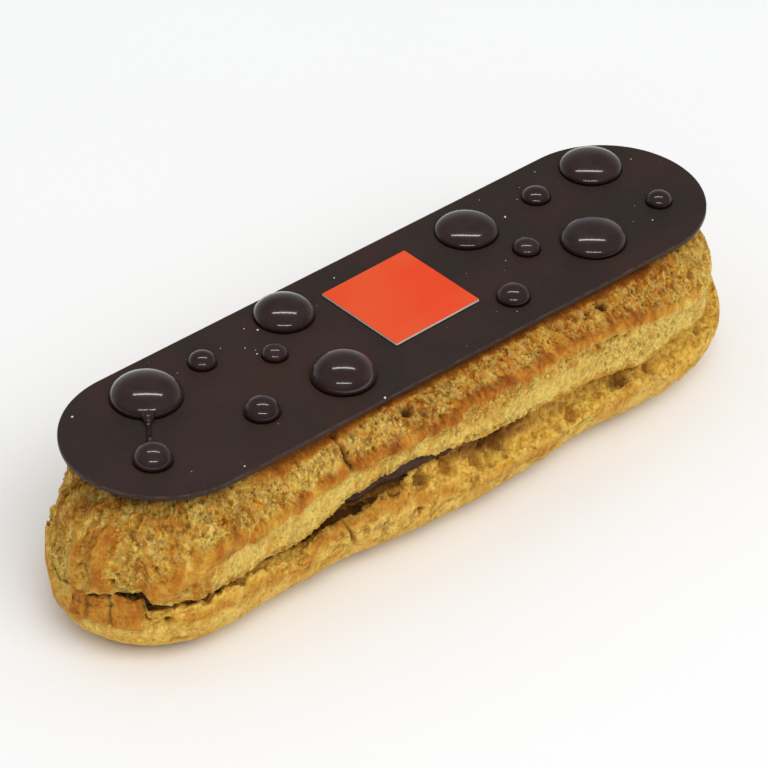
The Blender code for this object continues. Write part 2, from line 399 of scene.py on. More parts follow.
@dataclass(frozen=True)
class Outline:
    """Stations round the shell: a stadium with swellings, in the plate's own axes.

    The plate's middle is the origin here; shift is what is taken off to reach the frame.
    """

    shift: Pair
    front_steps: int = 470
    back_steps: int = 236
    end_steps: int = 207
    half_straight: float = 51.3
    body_radius: float = 22.2
    top_inset: float = 0.4
    right_step: float = 2.6
    right_step_span: Pair = (55.0, 69.0)
    left_end_span: Pair = (48.0, 72.0)
    open_from: float = 0.75
    torn_width: float = 4.2
    rim_gap: float = 0.5
    left_rim_gap: float = 0.6
    ceiling_rise: float = 1.2
    bed_drop: float = 1.8
    middle_drop: float = 1.6
    mouth_drops: tuple[tuple[float, float, float], ...] = ((-24.0, 9.5, 1.5), (4.0, 9.0, 0.6))
    plate_straight: float = 51.8
    plate_radius: float = 18.2
    tear_height: float = 0.45
    left_tear: float = 0.10
    tear_size: float = 4.2
    bulges: tuple[Spot, ...] = (
        Spot(-71.0, -10.0, 11.0, 4.5), Spot(-1.0, -22.0, 9.0, 2.2),
        Spot(18.0, -22.0, 9.0, 1.4), Spot(42.0, -22.0, 10.0, 1.4),
        Spot(-18.0, -22.0, 6.0, 0.8), Spot(-31.0, -22.0, 5.0, -0.6),
        Spot(-45.0, -22.0, 7.0, -0.4), Spot(-66.0, 16.0, 7.0, -1.6),
        Spot(-28.0, 22.0, 13.0, 1.3), Spot(22.0, 22.0, 16.0, 1.6),
        Spot(60.0, 18.0, 9.0, -0.6),
    )
    brim: tuple[Spot, ...] = (
        Spot(-16.0, -22.0, 9.0, 2.2), Spot(-72.0, -13.0, 7.0, 2.0),
    )
    lip_points: tuple[Pair, ...] = (
        (-77.5, 12.8), (-76.2, 14.4), (-75.6, 15.8), (-74.4, 15.7), (-73.4, 16.8), (-72.1, 17.0),
        (-70.7, 17.6), (-69.4, 14.8), (-66.0, 14.0), (-51.0, 14.7), (-37.0, 14.6),
        (-26.0, 18.2), (-22.0, 20.2), (-16.0, 20.7), (-5.0, 19.2), (14.0, 17.5), (25.0, 16.9),
        (40.0, 14.6), (52.0, 15.8), (76.0, 15.8),
    )
    rim_points: tuple[Pair, ...] = (
        (-77.5, 11.6), (-76.2, 13.2), (-75.4, 14.4), (-74.3, 14.6), (-73.4, 15.7), (-72.1, 15.8),
        (-70.9, 15.5), (-69.4, 13.0), (-66.0, 12.8), (-50.0, 12.8), (-39.0, 11.5),
        (-34.5, 14.7), (-30.0, 14.4), (-18.0, 16.6), (-11.0, 13.6), (4.0, 11.0), (25.0, 9.2),
        (36.0, 12.0), (50.0, 8.8), (60.0, 9.2), (76.0, 13.4),
    )
    sags: tuple[Spot, ...] = (Spot(-75.2, 1.6, 2.8, -3.0),)
    middle: Array = field(init=False, repr=False)
    cos: Array = field(init=False, repr=False)
    sin: Array = field(init=False, repr=False)

    def __post_init__(self) -> None:
        """Lay the stations out: front, right end, back, left end."""
        middles: list[float] = []
        turns: list[float] = []
        sides = ((1.0, -0.5, self.front_steps), (-1.0, 0.5, self.back_steps))
        for side, start, steps in sides:
            for i in range(steps):
                run = -self.half_straight + 2.0 * self.half_straight * i / steps
                middles.append(side * run)
                turns.append(start * math.pi)
            for i in range(self.end_steps):
                middles.append(side * self.half_straight)
                turns.append((start + i / self.end_steps) * math.pi)
        object.__setattr__(self, "middle", np.array(middles))
        object.__setattr__(self, "cos", np.cos(turns))
        object.__setattr__(self, "sin", np.sin(turns))

    def at(self, offset: Array) -> Rings:
        """Point (x, y) that lies offset outward from the middle line."""
        return self.middle + offset * self.cos, offset * self.sin

    def open_side(self) -> Array:
        """1 on the open front, 0 on the closed back."""
        return ease(self.open_from - 0.5 - self.sin, 0.0, self.open_from)

    def radius(self) -> Array:
        """Distance from the middle line to the outline."""
        return self.body_radius + swollen(self.bulges, *self.at(self.body_radius))

    def top_radius(self) -> Array:
        """Outline of the upper half, which stops short of the base at the right end."""
        step = self.right_step * ease(self.at(self.body_radius)[0], *self.right_step_span)
        return self.radius() - self.top_inset - step

    def left_end(self) -> Array:
        """1 at the left end's tip, 0 along the sides and at the right end."""
        return ease(-self.at(self.body_radius)[0], *self.left_end_span)

    def shelf_offset(self) -> Array:
        """Where the torn edge ends and the filling's bed begins."""
        brim = swollen(self.brim, *self.at(self.body_radius))
        return self.top_radius() - self.torn_width + brim

    def lip(self, offset: Array) -> Array:
        """Height of the upper half's lower edge."""
        x, y = self.at(offset)
        return through(self.lip_points, x) + swollen(self.sags, x, y)

    def rim(self, offset: Array) -> Array:
        """Height of the base's torn edge: open at the front, closed at the back."""
        x, y = self.at(offset)
        closed = self.lip(offset) - self.rim_gap - self.left_rim_gap * self.left_end()
        front = np.minimum(through(self.rim_points, x) + swollen(self.sags, x, y), closed)
        return closed + (front - closed) * self.open_side()

    def shelf(self, offset: Array) -> Array:
        """Height of the filling's bed, lower where the filling shows at the side."""
        x = self.at(offset)[0]
        low = self.bed_drop + self.middle_drop * hump(x, -14.0, 11.0)
        mouth = sum(drop * hump(x, middle, width) for middle, width, drop in self.mouth_drops)
        mouth = mouth * self.open_side() * share(offset / self.shelf_offset()) ** 2
        return through(self.lip_points, x) - low - mouth

    def ceiling(self, offset: Array) -> Array:
        """Height of the upper half's underside."""
        return self.lip(offset) + self.ceiling_rise

    def past_plate(self, points: Array) -> Array:
        """How far points lie outside the plate's edge, seen from above."""
        half = self.plate_straight
        reach = np.clip(points[:, 0] + self.shift[0], -half, half) - self.shift[0]
        return np.hypot(points[:, 0] - reach, points[:, 1] + self.shift[1]) - self.plate_radius

    def tear(self) -> Array:
        """How far the upper half's torn edge strays up or down along its run."""
        places = self.edge_points(self.top_radius())
        height = self.tear_height + self.left_tear * self.left_end()
        return height * layered(places, self.tear_size, Draw.TEAR, 3)

    def edge_points(self, offset: Array) -> Array:
        """Places along an edge, level with the table, for fields that vary along it."""
        x, y = self.at(offset)
        return np.stack([x, y, np.zeros_like(x)], axis=1)


@dataclass(frozen=True)
class Band:
    """A strip of a loft between two edges.

    place(part) gives each station's offset outward and height, for a part from 0 to 1.
    """

    rings: int
    place: Callable[[float], Rings]
    samples: int = 60

    def laid(self) -> Rings:
        """Evenly spaced rings along the strip, without its far edge."""
        parts = [self.place(k / self.samples) for k in range(self.samples + 1)]
        out = np.stack([p[0] for p in parts])
        up = np.stack([p[1] for p in parts])
        run = np.hypot(np.diff(out, axis=0), np.diff(up, axis=0))
        run = np.vstack([np.zeros(out.shape[1]), np.cumsum(run, axis=0)])
        fractions = np.arange(self.rings) / self.rings
        laid_out = np.empty((self.rings, out.shape[1]))
        laid_up = np.empty_like(laid_out)
        for s in range(out.shape[1]):
            wanted = fractions * run[-1, s]
            laid_out[:, s] = np.interp(wanted, run[:, s], out[:, s])
            laid_up[:, s] = np.interp(wanted, run[:, s], up[:, s])
        return laid_out, laid_up


@dataclass
class Skin:
    """Points of a loft as rings by stations, with what is known at each point."""

    outline: Outline
    bands: list[Band]
    start_height: Array
    end_height: Array
    points: Array = field(init=False, repr=False)
    band_of: Array = field(init=False, repr=False)

    def __post_init__(self) -> None:
        """Lay out every ring between the two middle lines."""
        laid = [band.laid() for band in self.bands]
        out, up = (np.vstack(rings) for rings in zip(*laid))
        x, y = self.outline.at(out)
        shift_x, shift_y = self.outline.shift
        self.points = np.stack([x - shift_x, y - shift_y, up], axis=2)
        self.band_of = np.repeat(range(len(laid)), [band.rings for band in self.bands])

    def flat(self) -> Array:
        """All ring points as rows."""
        return self.points.reshape(-1, 3)

    def ring_value(self, per_band: tuple[float, ...]) -> Array:
        """A number for each band, repeated for every point and softened across edges."""
        values = np.array(per_band)[self.band_of]
        return np.repeat(softened(softened(values)), self.points.shape[1])

    def per_station(self, values: Array) -> Array:
        """A number for each station, repeated for every ring."""
        return np.tile(values, self.points.shape[0])

    def laid(self, start: int) -> Array:
        """Places that run along the outline and up the skin, for fields that follow both.

        Args:
            start: The ring from which the way up is measured.

        Returns:
            Rows of x and y of the outline and the way up, in millimetres.
        """
        step = np.linalg.norm(np.diff(self.points, axis=0), axis=2)
        run = np.vstack([np.zeros(step.shape[1]), np.cumsum(step, axis=0)])
        around = self.outline.at(self.outline.body_radius)
        x, y = (np.broadcast_to(side, run.shape) for side in around)
        return np.stack([x, y, run - run[start]], axis=2).reshape(-1, 3)

    def inward(self) -> Array:
        """How far each point lies inside the outline of its own station."""
        out = self.points[:, :, 0] + self.outline.shift[0] - self.outline.middle
        out = np.hypot(out, self.points[:, :, 1] + self.outline.shift[1])
        return (self.outline.radius()[None, :] - out).ravel()

    def normals(self) -> Array:
        """Outward directions from the neighbouring points."""
        around = np.roll(self.points, -1, axis=1) - np.roll(self.points, 1, axis=1)
        across = np.gradient(self.points, axis=0)
        normal = np.cross(around, across)
        length = np.linalg.norm(normal, axis=2, keepdims=True)
        return (normal / np.maximum(length, 1e-9)).reshape(-1, 3)

    def push(self, height: Array) -> None:
        """Move every point along its outward direction."""
        moved = self.flat() + self.normals() * height[:, None]
        self.points = moved.reshape(self.points.shape)

    def mesh(self, name: str, values: dict[str, Array]) -> bpy.types.Mesh:
        """Close the rings into one body.

        Args:
            name: Name of the mesh.
            values: Numbers for each ring point, stored as attributes.

        Returns:
            The mesh, in metres.
        """
        rings, stations = self.points.shape[:2]
        shift_x, shift_y = self.outline.shift
        keys, first, shared = np.unique(
            np.round(self.outline.middle, 4), return_index=True, return_inverse=True
        )
        level = np.full(len(keys), -shift_y)
        ends = [np.stack([keys - shift_x, level, height[first]], axis=1)
                for height in (self.start_height, self.end_height)]
        verts = np.vstack([self.flat(), *ends]) * MM
        index = np.arange(rings * stations).reshape(rings, stations)
        low = rings * stations + shared
        high = low + len(keys)
        grid = np.vstack([low, index, high])
        faces: list[tuple[int, ...]] = []
        after = np.roll(grid, -1, axis=1)
        for r in range(rings + 1):
            quads = np.stack([grid[r], after[r], after[r + 1], grid[r + 1]], axis=1)
            faces.extend(tuple(dict.fromkeys(quad)) for quad in quads.tolist())
        faces = [face for face in faces if len(face) > 2]
        mesh = bpy.data.meshes.new(name)
        mesh.from_pydata(verts.tolist(), [], faces)
        mesh.shade_smooth()
        for key, value in values.items():
            kind, slot = ("FLOAT", "value") if value.ndim == 1 else ("FLOAT_VECTOR", "vector")
            layer = mesh.attributes.new(key, kind, "POINT")
            ends_value = np.zeros((2 * len(keys), *value.shape[1:]))
            packed = np.concatenate([value, ends_value]).astype(np.float32)
            layer.data.foreach_set(slot, packed.ravel())
        mesh.update()
        return mesh


def linked(name: str, mesh: bpy.types.Mesh, finish: "Finish | None" = None) -> Piece:
    """Put a mesh into the scene as an object at the origin, with its finish if it has one."""
    if finish:
        mesh.materials.append(finish.material)
    piece = bpy.data.objects.new(name, mesh)
    bpy.context.scene.collection.objects.link(piece)
    return piece


def plain(name: str, shape: bmesh.types.BMesh) -> bpy.types.Mesh:
    """Turn a worked shape into a mesh and let the shape go."""
    mesh = bpy.data.meshes.new(name)
    shape.to_mesh(mesh)
    shape.free()
    return mesh


def seeds(name: str, places: list[Point], **values: list[float]) -> bpy.types.Mesh:
    """Loose points, in metres, that hold the named numbers."""
    mesh = bpy.data.meshes.new(name)
    mesh.from_pydata(places, [], [])
    for key, numbers in values.items():
        mesh.attributes.new(key, "FLOAT", "POINT").data.foreach_set("value", numbers)
    return mesh


def rounded_edges(piece: Piece, name: str, width: float, segments: int) -> None:
    """Round a piece's sharp edges, by a width in millimetres."""
    bevel = piece.modifiers.new(name, "BEVEL")
    bevel.width = width * MM
    bevel.segments = segments
    bevel.limit_method = "ANGLE"
    bevel.angle_limit = BEVEL_FROM


# ---------------------------------------------------------------- node graphs


def maths(operation: str, swapped: bool = False) -> Callable[..., "Wire"]:
    """Make an operator of wires that adds one Math node."""

    def apply(wire: "Wire", *other: "Wire | float") -> "Wire":
        """Add the node."""
        values = (*other, wire) if swapped else (wire, *other)
        return wire.graph.node("ShaderNodeMath", {"operation": operation}, *values)

    return apply


class Wire:
    """An output socket whose arithmetic adds Math nodes."""

    __add__ = __radd__ = maths("ADD")
    __sub__ = maths("SUBTRACT")
    __rsub__ = maths("SUBTRACT", swapped=True)
    __mul__ = __rmul__ = maths("MULTIPLY")
    __truediv__ = maths("DIVIDE")
    __pow__ = maths("POWER")
    most = maths("MAXIMUM")
    root = maths("SQRT")
    size = maths("ABSOLUTE")

    def __init__(self, graph: "Graph", socket: bpy.types.NodeSocket) -> None:
        """Keep the graph and the socket."""
        self.graph = graph
        self.socket = socket

    def eased(self, low: float, high: float, start: float = 0.0, end: float = 1.0) -> "Wire":
        """Start at low, end at high, and level at both."""
        settings = {"interpolation_type": "SMOOTHSTEP"}
        return self.graph.node("ShaderNodeMapRange", settings, self, low, high, start, end)


class Graph:
    """Adds nodes to one tree."""

    def __init__(self, tree: bpy.types.NodeTree) -> None:
        """Keep the tree."""
        self.tree = tree

    def node(self, kind: str, settings: dict[str, object] | None = None,
             *values: object, out: int | str = 0, **named: object) -> Wire:
        """Add a node.

        Args:
            kind: The node's type.
            settings: Its settings, set first; "stops" are a ramp's (place, colour) pairs.
            values: Values or links of its first sockets, in order; None skips one.
            out: Which output to return.
            named: Values or links of sockets by name, with _ for a space.

        Returns:
            The chosen output.
        """
        made = self.tree.nodes.new(kind)
        for key, value in (settings or {}).items():
            if key == "stops":
                self._stops(made, value)
            else:
                setattr(made, key, value)
        for place, value in enumerate(values):
            self.feed(made.inputs[place], value)
        for key, value in named.items():
            self.feed(made.inputs[key.replace("_", " ")], value)
        return Wire(self, made.outputs[out])

    @staticmethod
    def _stops(ramp: bpy.types.Node, stops: tuple[tuple[float, Colour], ...]) -> None:
        """Set a ramp's colours."""
        elements = ramp.color_ramp.elements
        while len(elements) < len(stops):
            elements.new(0.5)
        for element, (place, colour) in zip(elements, stops):
            element.position = place
            element.color = (*colour, 1.0)

    def feed(self, socket: bpy.types.NodeSocket, value: object) -> None:
        """Link a wire to a socket, or set the socket's value."""
        if isinstance(value, Wire):
            self.tree.links.new(value.socket, socket)
        elif value is not None:
            if isinstance(value, tuple) and len(value) == 3 and socket.type == "RGBA":
                value = (*value, 1.0)
            socket.default_value = value

    def mix(self, part: Wire | float, low: Wire | Colour, high: Wire | Colour) -> Wire:
        """Mix two colours: low where part is 0, high where it is 1."""
        unused = (None,) * 5
        return self.node("ShaderNodeMix", {"data_type": "RGBA"}, part, *unused, low, high, out=2)

    def scaled(self, vector: Wire | Point, by: Wire | Point) -> Wire:
        """Multiply a vector or a colour, each axis or channel by its own number."""
        return self.node("ShaderNodeVectorMath", {"operation": "MULTIPLY"}, vector, by)

    def joined(self, x: Wire | float, y: Wire | float, z: Wire | float) -> Wire:
        """A vector made of three numbers."""
        return self.node("ShaderNodeCombineXYZ", None, x, y, z)

    def part(self, vector: Wire, axis: str) -> Wire:
        """One axis of a vector."""
        return self.node("ShaderNodeSeparateXYZ", None, vector, out=axis)


@dataclass(frozen=True)
class Grain:
    """A noise: waves for each millimetre, layers, roughness and distortion."""

    per_mm: float
    layers: float = 3.0
    rough: float = 0.55
    warp: float = 0.0


class Finish:
    """A procedural material; each kind adds its own nodes."""

    halves: Pair = (0.35, 0.65)

    def __init__(self, name: str) -> None:
        """Start an empty material with a Principled shader."""
        self.material = bpy.data.materials.new(name)
        self.material.use_nodes = True
        tree = self.material.node_tree
        self.shader = tree.nodes["Principled BSDF"]
        self.graph = Graph(tree)
        where = self.graph.node("ShaderNodeTexCoord", out="Object")
        scale = {"operation": "SCALE"}
        self.place = self.graph.node("ShaderNodeVectorMath", scale, where, Scale=1.0 / MM)

    def height(self) -> Wire:
        """Height above the table, in millimetres."""
        return self.graph.part(self.place, "Z")

    def noise(self, grain: Grain, place: Wire | None = None) -> Wire:
        """Noise of a grain, about 0.5 on average."""
        return self.graph.node("ShaderNodeTexNoise", None, Vector=place or self.place,
                               Scale=grain.per_mm, Detail=grain.layers, Roughness=grain.rough,
                               Distortion=grain.warp)

    def cells(self, per_mm: float, place: Wire | None = None) -> Wire:
        """Distance to the nearest of scattered middles, in cells."""
        return self.graph.node("ShaderNodeTexVoronoi", None, Vector=place or self.place,
                               Scale=per_mm)

    def value(self, name: str) -> Wire:
        """A number stored on the mesh."""
        return self.graph.node("ShaderNodeAttribute", {"attribute_name": name}, out="Fac")

    def sockets(self, **values: Wire | float | Colour) -> None:
        """Feed the shader's sockets: a wire where a value varies, else a plain number."""
        for key, value in values.items():
            self.graph.feed(self.shader.inputs[key.replace("_", " ")], value)

    def bump(self, height: Wire, distance: float) -> None:
        """Raise the surface by height times distance, in millimetres."""
        self.sockets(Normal=self.graph.node("ShaderNodeBump", None, Height=height,
                                            Distance=distance * MM, Strength=1.0))


class DoughFinish(Finish):
    """Baked choux: mottled from pale gold to orange brown, with fine pores and flakes, and painted
    shade where the pit value says.

    A pair named for a mark holds how strong it is on smooth crust, and what coarse crust adds.
    """

    crumb: Colour = (0.93, 0.594, 0.108)
    golden: Colour = (0.71, 0.378, 0.050)
    beige: Colour = (0.70, 0.425, 0.105)
    # pore and dark colour the pores, and also the painted shade that the pit value brings to
    # cracks, bubbles, the gap and under the plate.
    pore: Colour = (0.235, 0.082, 0.014)
    dark: Colour = (0.095, 0.034, 0.008)
    browning: tuple[tuple[float, Colour], ...] = (
        (0.0, (0.93, 0.665, 0.160)), (0.34, golden), (0.68, (0.54, 0.190, 0.017)),
        (1.0, (0.29, 0.076, 0.007)),
    )
    upright: Point = (1.0, 1.0, 0.55)
    level: Point = (1.0, 1.0, 0.85)
    round_hole: Point = (1.0, 1.0, 0.8)
    broad: Grain = Grain(0.13, 2.0)
    patch: Grain = Grain(0.42, 3.0, 0.6, 0.5)
    fleck: Grain = Grain(1.35, 4.0, 0.7, 0.5)
    island: Grain = Grain(0.8, 3.0, 0.65, 0.3)
    soft: Grain = Grain(1.1, 3.0, 0.6)
    grain: Grain = Grain(1.7, 5.0, 0.75, 0.3)
    vein: Grain = Grain(0.85, 4.0, 0.65, 0.4)
    gap: Grain = Grain(0.33, 2.0)
    crowd: Grain = Grain(0.55, 2.0, 0.5, 0.3)
    speck: Grain = Grain(2.3, 3.0, 0.6, 0.3)
    fine: Grain = Grain(3.0, 4.0, 0.7)
    holes_per_mm: float = 1.25
    broad_swing: float = 0.40
    patch_swing: Pair = (0.95, 0.6)
    fleck_swing: Pair = (0.60, 1.2)
    island_share: Pair = (0.06, 0.72)
    vein_share: Pair = (0.25, 0.45)
    hole_share: Pair = (0.12, 0.9)
    speck_share: Pair = (0.45, 0.4)
    warm_tint: Colour = (0.80, 0.62, 0.40)
    light_tint: Colour = (1.11, 1.11, 1.15)

    def __init__(self, name: str, flaky: float) -> None:
        """Make the material.

        Args:
            name: Its name.
            flaky: How strong the fine flaking is, from 0 to 1.
        """
        super().__init__(name)
        mix = self.graph.mix
        bake, crumb, pit, coarse = (
            self.value(key) for key in ("bake", "crumb", "pit", "coarse")
        )
        upright, level, rounded = (
            self.lay(by) for by in (self.upright, self.level, self.round_hole)
        )

        def strength(pair: Pair) -> Wire:
            """Strength of a mark: the first number, and the second on coarse crust."""
            return pair[0] + coarse * pair[1]

        fleck = self.noise(self.fleck, level)
        tone = bake + (self.noise(self.broad) - 0.5) * self.broad_swing
        tone = tone + (self.noise(self.patch, upright) - 0.5) * strength(self.patch_swing)
        tone = tone + (fleck - 0.5) * strength(self.fleck_swing)
        crust = self.graph.node("ShaderNodeValToRGB", {"stops": self.browning}, tone)
        island = self.noise(self.island, upright).eased(0.47, 0.60)
        crust = mix(island * strength(self.island_share), crust, self.beige)
        inside = mix(self.noise(self.soft).eased(0.40, 0.66), self.crumb, self.golden)
        body = mix(crumb, crust, inside)
        grain = self.noise(self.grain, level)
        warm, light = (self.graph.scaled(body, tint) for tint in (self.warm_tint, self.light_tint))
        body = mix(grain.eased(0.60, 0.42) * 0.6, body, light)
        body = mix(grain.eased(0.50, 0.66) * 0.85, body, warm)
        gap = self.noise(self.gap).eased(0.44, 0.60)
        veins = (1.0 - (self.noise(self.vein, upright) - 0.5).size().eased(0.0, 0.030)) * gap
        crowd = self.noise(self.crowd, upright).eased(0.42, 0.58)
        holes = (1.0 - self.cells(self.holes_per_mm, rounded).eased(0.13, 0.30)) * crowd
        holes = holes * strength(self.hole_share)
        specks = self.noise(self.speck, upright).eased(0.62, 0.69) * strength(self.speck_share)
        lines = (veins * strength(self.vein_share)).most(specks * 0.62).most(holes * 0.8)
        # shade: the pores' own darkness and the painted shade from the pit value, with the fine
        # marks; it mixes towards pore and dark.
        shade = pit.most(lines * flaky)
        hollow = mix(shade.eased(0.55, 1.0), self.pore, self.dark)
        fine = self.noise(self.fine)
        self.bump(fleck * 0.8 + fine * 0.35 + grain * 0.3 - lines * 0.7, 0.45 + 0.20 * flaky)
        self.sockets(Base_Color=mix(shade, body, hollow), Roughness=0.48 + fine * 0.25,
                     Specular_IOR_Level=0.12, Subsurface_Weight=0.30,
                     Subsurface_Scale=1.2 * MM, Subsurface_Radius=(1.0, 0.42, 0.12))

    def lay(self, by: Point) -> Wire:
        """The place that follows the skin, each axis multiplied."""
        kind = {"attribute_name": "lay"}
        place = self.graph.node("ShaderNodeAttribute", kind, out="Vector")
        return self.graph.scaled(place, by)


class CreamFinish(Finish):
    """Dark chocolate cream, satin with soft streaks."""

    def __init__(self) -> None:
        """Make the material."""
        super().__init__("chocolate_cream_soft")
        along = self.graph.scaled(self.place, (0.4, 1.0, 1.6))
        streak = self.noise(Grain(0.5, 3.0, 0.6, 1.0), along)
        colour = self.graph.mix(streak.eased(*self.halves), (0.042, 0.017, 0.011),
                                (0.080, 0.034, 0.022))
        self.bump(self.noise(Grain(0.9)), 0.35)
        self.sockets(Base_Color=colour, Roughness=0.42 + streak * 0.2, Specular_IOR_Level=0.15)


class PlateFinish(Finish):
    """Tempered dark chocolate: satin, with faint clouds, specks, fine scuffs and a worn edge that
    carries a painted highlight.
    """

    face: Shades = ((0.0290, 0.0185, 0.0148), (0.0430, 0.0198, 0.0148))
    bloom: Colour = (0.050, 0.034, 0.028)
    dust: Colour = (0.20, 0.15, 0.12)
    # worn_edge: colour of the worn edge, lighter than the face; partly wear and partly a painted
    # highlight.
    worn_edge: Colour = (0.13, 0.070, 0.050)

    def __init__(self, top: float) -> None:
        """Make the material.

        Args:
            top: Height of the plate's face, in millimetres, below which its edge is worn and
                carries a painted highlight.
        """
        super().__init__("dark_chocolate_plate")
        mix = self.graph.mix
        cloud = self.noise(Grain(0.045, 3.0, 0.6, 0.6))
        grain = self.noise(Grain(1.6, 4.0, 0.65))
        colour = mix(cloud.eased(*self.halves), *self.face)
        colour = mix(grain.eased(0.45, 0.75) * 0.35, colour, self.bloom)
        dots = (1.0 - self.cells(0.33).eased(0.020, 0.045)) * 0.5
        colour = mix(dots, colour, self.dust)
        height = self.height()
        # A narrow band just under the face, patchy by noise: wear and a painted highlight on the
        # edge.
        rubbed_and_lit = height.eased(top - 0.27, top - 0.16) * (1.0 - height.eased(top - 0.05, top - 0.01))
        worn = rubbed_and_lit * self.noise(Grain(0.5, 3.0, 0.7)).eased(0.35, 0.62)
        along = self.graph.scaled(self.place, (0.05, 1.6, 1.0))
        scuff = self.noise(Grain(1.0, 3.0, 0.6), along)
        self.bump(grain * 0.6 + scuff * 0.4, 0.030)
        self.sockets(Base_Color=mix(worn * 0.6, colour, self.worn_edge),
                     Roughness=0.36 + cloud * 0.10 + scuff * 0.08, Specular_IOR_Level=0.22)


class DropFinish(Finish):
    """Set chocolate glaze: deep purple brown and very glossy, with painted shade darkest where it
    meets the plate.
    """

    face: Shades = ((0.0290, 0.0145, 0.0150), (0.0370, 0.0195, 0.0190))
    # foot: painted contact shade, near black where a drop meets the plate.
    foot: Colour = (0.0050, 0.0024, 0.0024)

    def __init__(self, top: float) -> None:
        """Make the material.

        Args:
            top: Height of the plate's face, in millimetres.
        """
        super().__init__("glossy_chocolate_drop")
        cloud = self.noise(Grain(0.22, 2.0, 0.5, 0.5))
        colour = self.graph.mix(cloud.eased(*self.halves), *self.face)
        height = self.height()
        # Painted contact shade: darker towards the plate.
        colour = self.graph.mix(height.eased(top + 0.15, top + 1.10), self.foot, colour)
        self.bump(self.noise(Grain(0.6, 2.0)), 0.035)
        self.sockets(Base_Color=colour, Roughness=0.22 + cloud * 0.10, Specular_IOR_Level=0.10,
                     Coat_Weight=height.eased(top + 0.1, top + 1.0, 0.08, 1.0),
                     Coat_Roughness=0.09)


class CardFinish(Finish):
    """Coated card: orange face, white core that shows at its edges."""

    ink: Shades = ((0.81, 0.088, 0.020), (0.83, 0.060, 0.010))
    pale_ink: Colour = (0.9, 0.30, 0.16)
    core: Shades = ((0.80, 0.76, 0.70), (0.72, 0.66, 0.60))

    def __init__(self, face_height: float) -> None:
        """Make the material.

        Args:
            face_height: Height of the orange face, in millimetres.
        """
        super().__init__("orange_card_face")
        mix = self.graph.mix
        fibre = self.noise(Grain(2.6, 4.0, 0.7))
        ink = mix(self.noise(Grain(0.08, 2.0)).eased(0.3, 0.7), *self.ink)
        ink = mix(fibre.eased(0.55, 0.8) * 0.12, ink, self.pale_ink)
        core = mix(fibre.eased(0.4, 0.7), *self.core)
        coated = self.height().eased(face_height - 0.10, face_height - 0.03)
        self.bump(fibre, 0.010)
        self.sockets(Base_Color=mix(coated, core, ink), Roughness=0.42 + fibre * 0.12,
                     Specular_IOR_Level=0.20)


class DustFinish(Finish):
    """Crumbs and sugar dust: pale grains."""

    grains: Shades = ((0.62, 0.55, 0.42), (0.85, 0.82, 0.76))

    def __init__(self) -> None:
        """Make the material."""
        super().__init__("pale_dust")
        grain = self.noise(Grain(1.4))
        self.bump(self.noise(Grain(5.0)), 0.05)
        self.sockets(Base_Color=self.graph.mix(grain.eased(*self.halves), *self.grains),
                     Roughness=0.7 + grain * 0.2)


class FloorFinish(Finish):
    """Matt white paper backdrop with the faintest unevenness."""

    paper: Shades = ((0.93, 0.93, 0.925), (0.95, 0.95, 0.95))

    def __init__(self) -> None:
        """Make the material."""
        super().__init__("studio_paper")
        cloud = self.noise(Grain(0.004, 2.0))
        self.sockets(Base_Color=self.graph.mix(cloud.eased(0.3, 0.7), *self.paper),
                     Roughness=0.85, Specular_IOR_Level=0.0)


# ---------------------------------------------------------------- the choux shell


Known = dict[str, Array]
Weights = tuple[tuple[float, str], ...]


def blend(known: Known, weights: Weights) -> Array:
    """Weighted sum of what is known, where the values named in one row are multiplied."""
    return sum(
        weight * np.prod([known[name] for name in names.split()], axis=0)
        for weight, names in weights
    )


@dataclass
class Half:
    """What both halves of the shell share: how a skin is raised, marked and dressed.

    A table of weights gives how much each texture counts where its zones lie, with heights in
    millimetres and all else from 0 to 1.
    """

    outline: Outline
    inner_start: float = 0.15
    name = ""
    seed = Draw.CRUST_WARP
    warp_size = 1.0
    warp_reach = 0.5
    marks = Marks((), (), 0.0, 0.0)
    heights: ClassVar[Weights] = ()

    def skin(self) -> Skin:
        """Lay out the rings."""
        raise NotImplementedError

    def learn(self, skin: Skin, bent: Array, warp: Array) -> Known:
        """Find the zones and draw the textures.

        Args:
            skin: The skin before it is raised.
            bent: Its points, bent by the warp.
            warp: The warp at its points.

        Returns:
            Numbers for every point by name; "free" is how freely a point may move.
        """
        raise NotImplementedError

    def values(self, skin: Skin, known: Known) -> Known:
        """What the finish reads at every point of the raised skin."""
        raise NotImplementedError

    def build(self, finish: DoughFinish) -> Piece:
        """Raise the dough, mark it and dress it."""
        skin = self.skin()
        p = skin.flat()
        warp = stirred(p, self.warp_size, self.seed)
        known = self.learn(skin, p + self.warp_reach * warp, warp)
        known["all"] = np.ones(len(p))
        cut_height, known["cut"] = self.marks.cut(p, warp)
        burst_height, known["burst"] = self.marks.burst(p, warp)
        height = blend(known, self.heights) + cut_height + burst_height
        skin.push(height * known["free"])
        return linked(self.name, skin.mesh(self.name, self.values(skin, known)), finish)


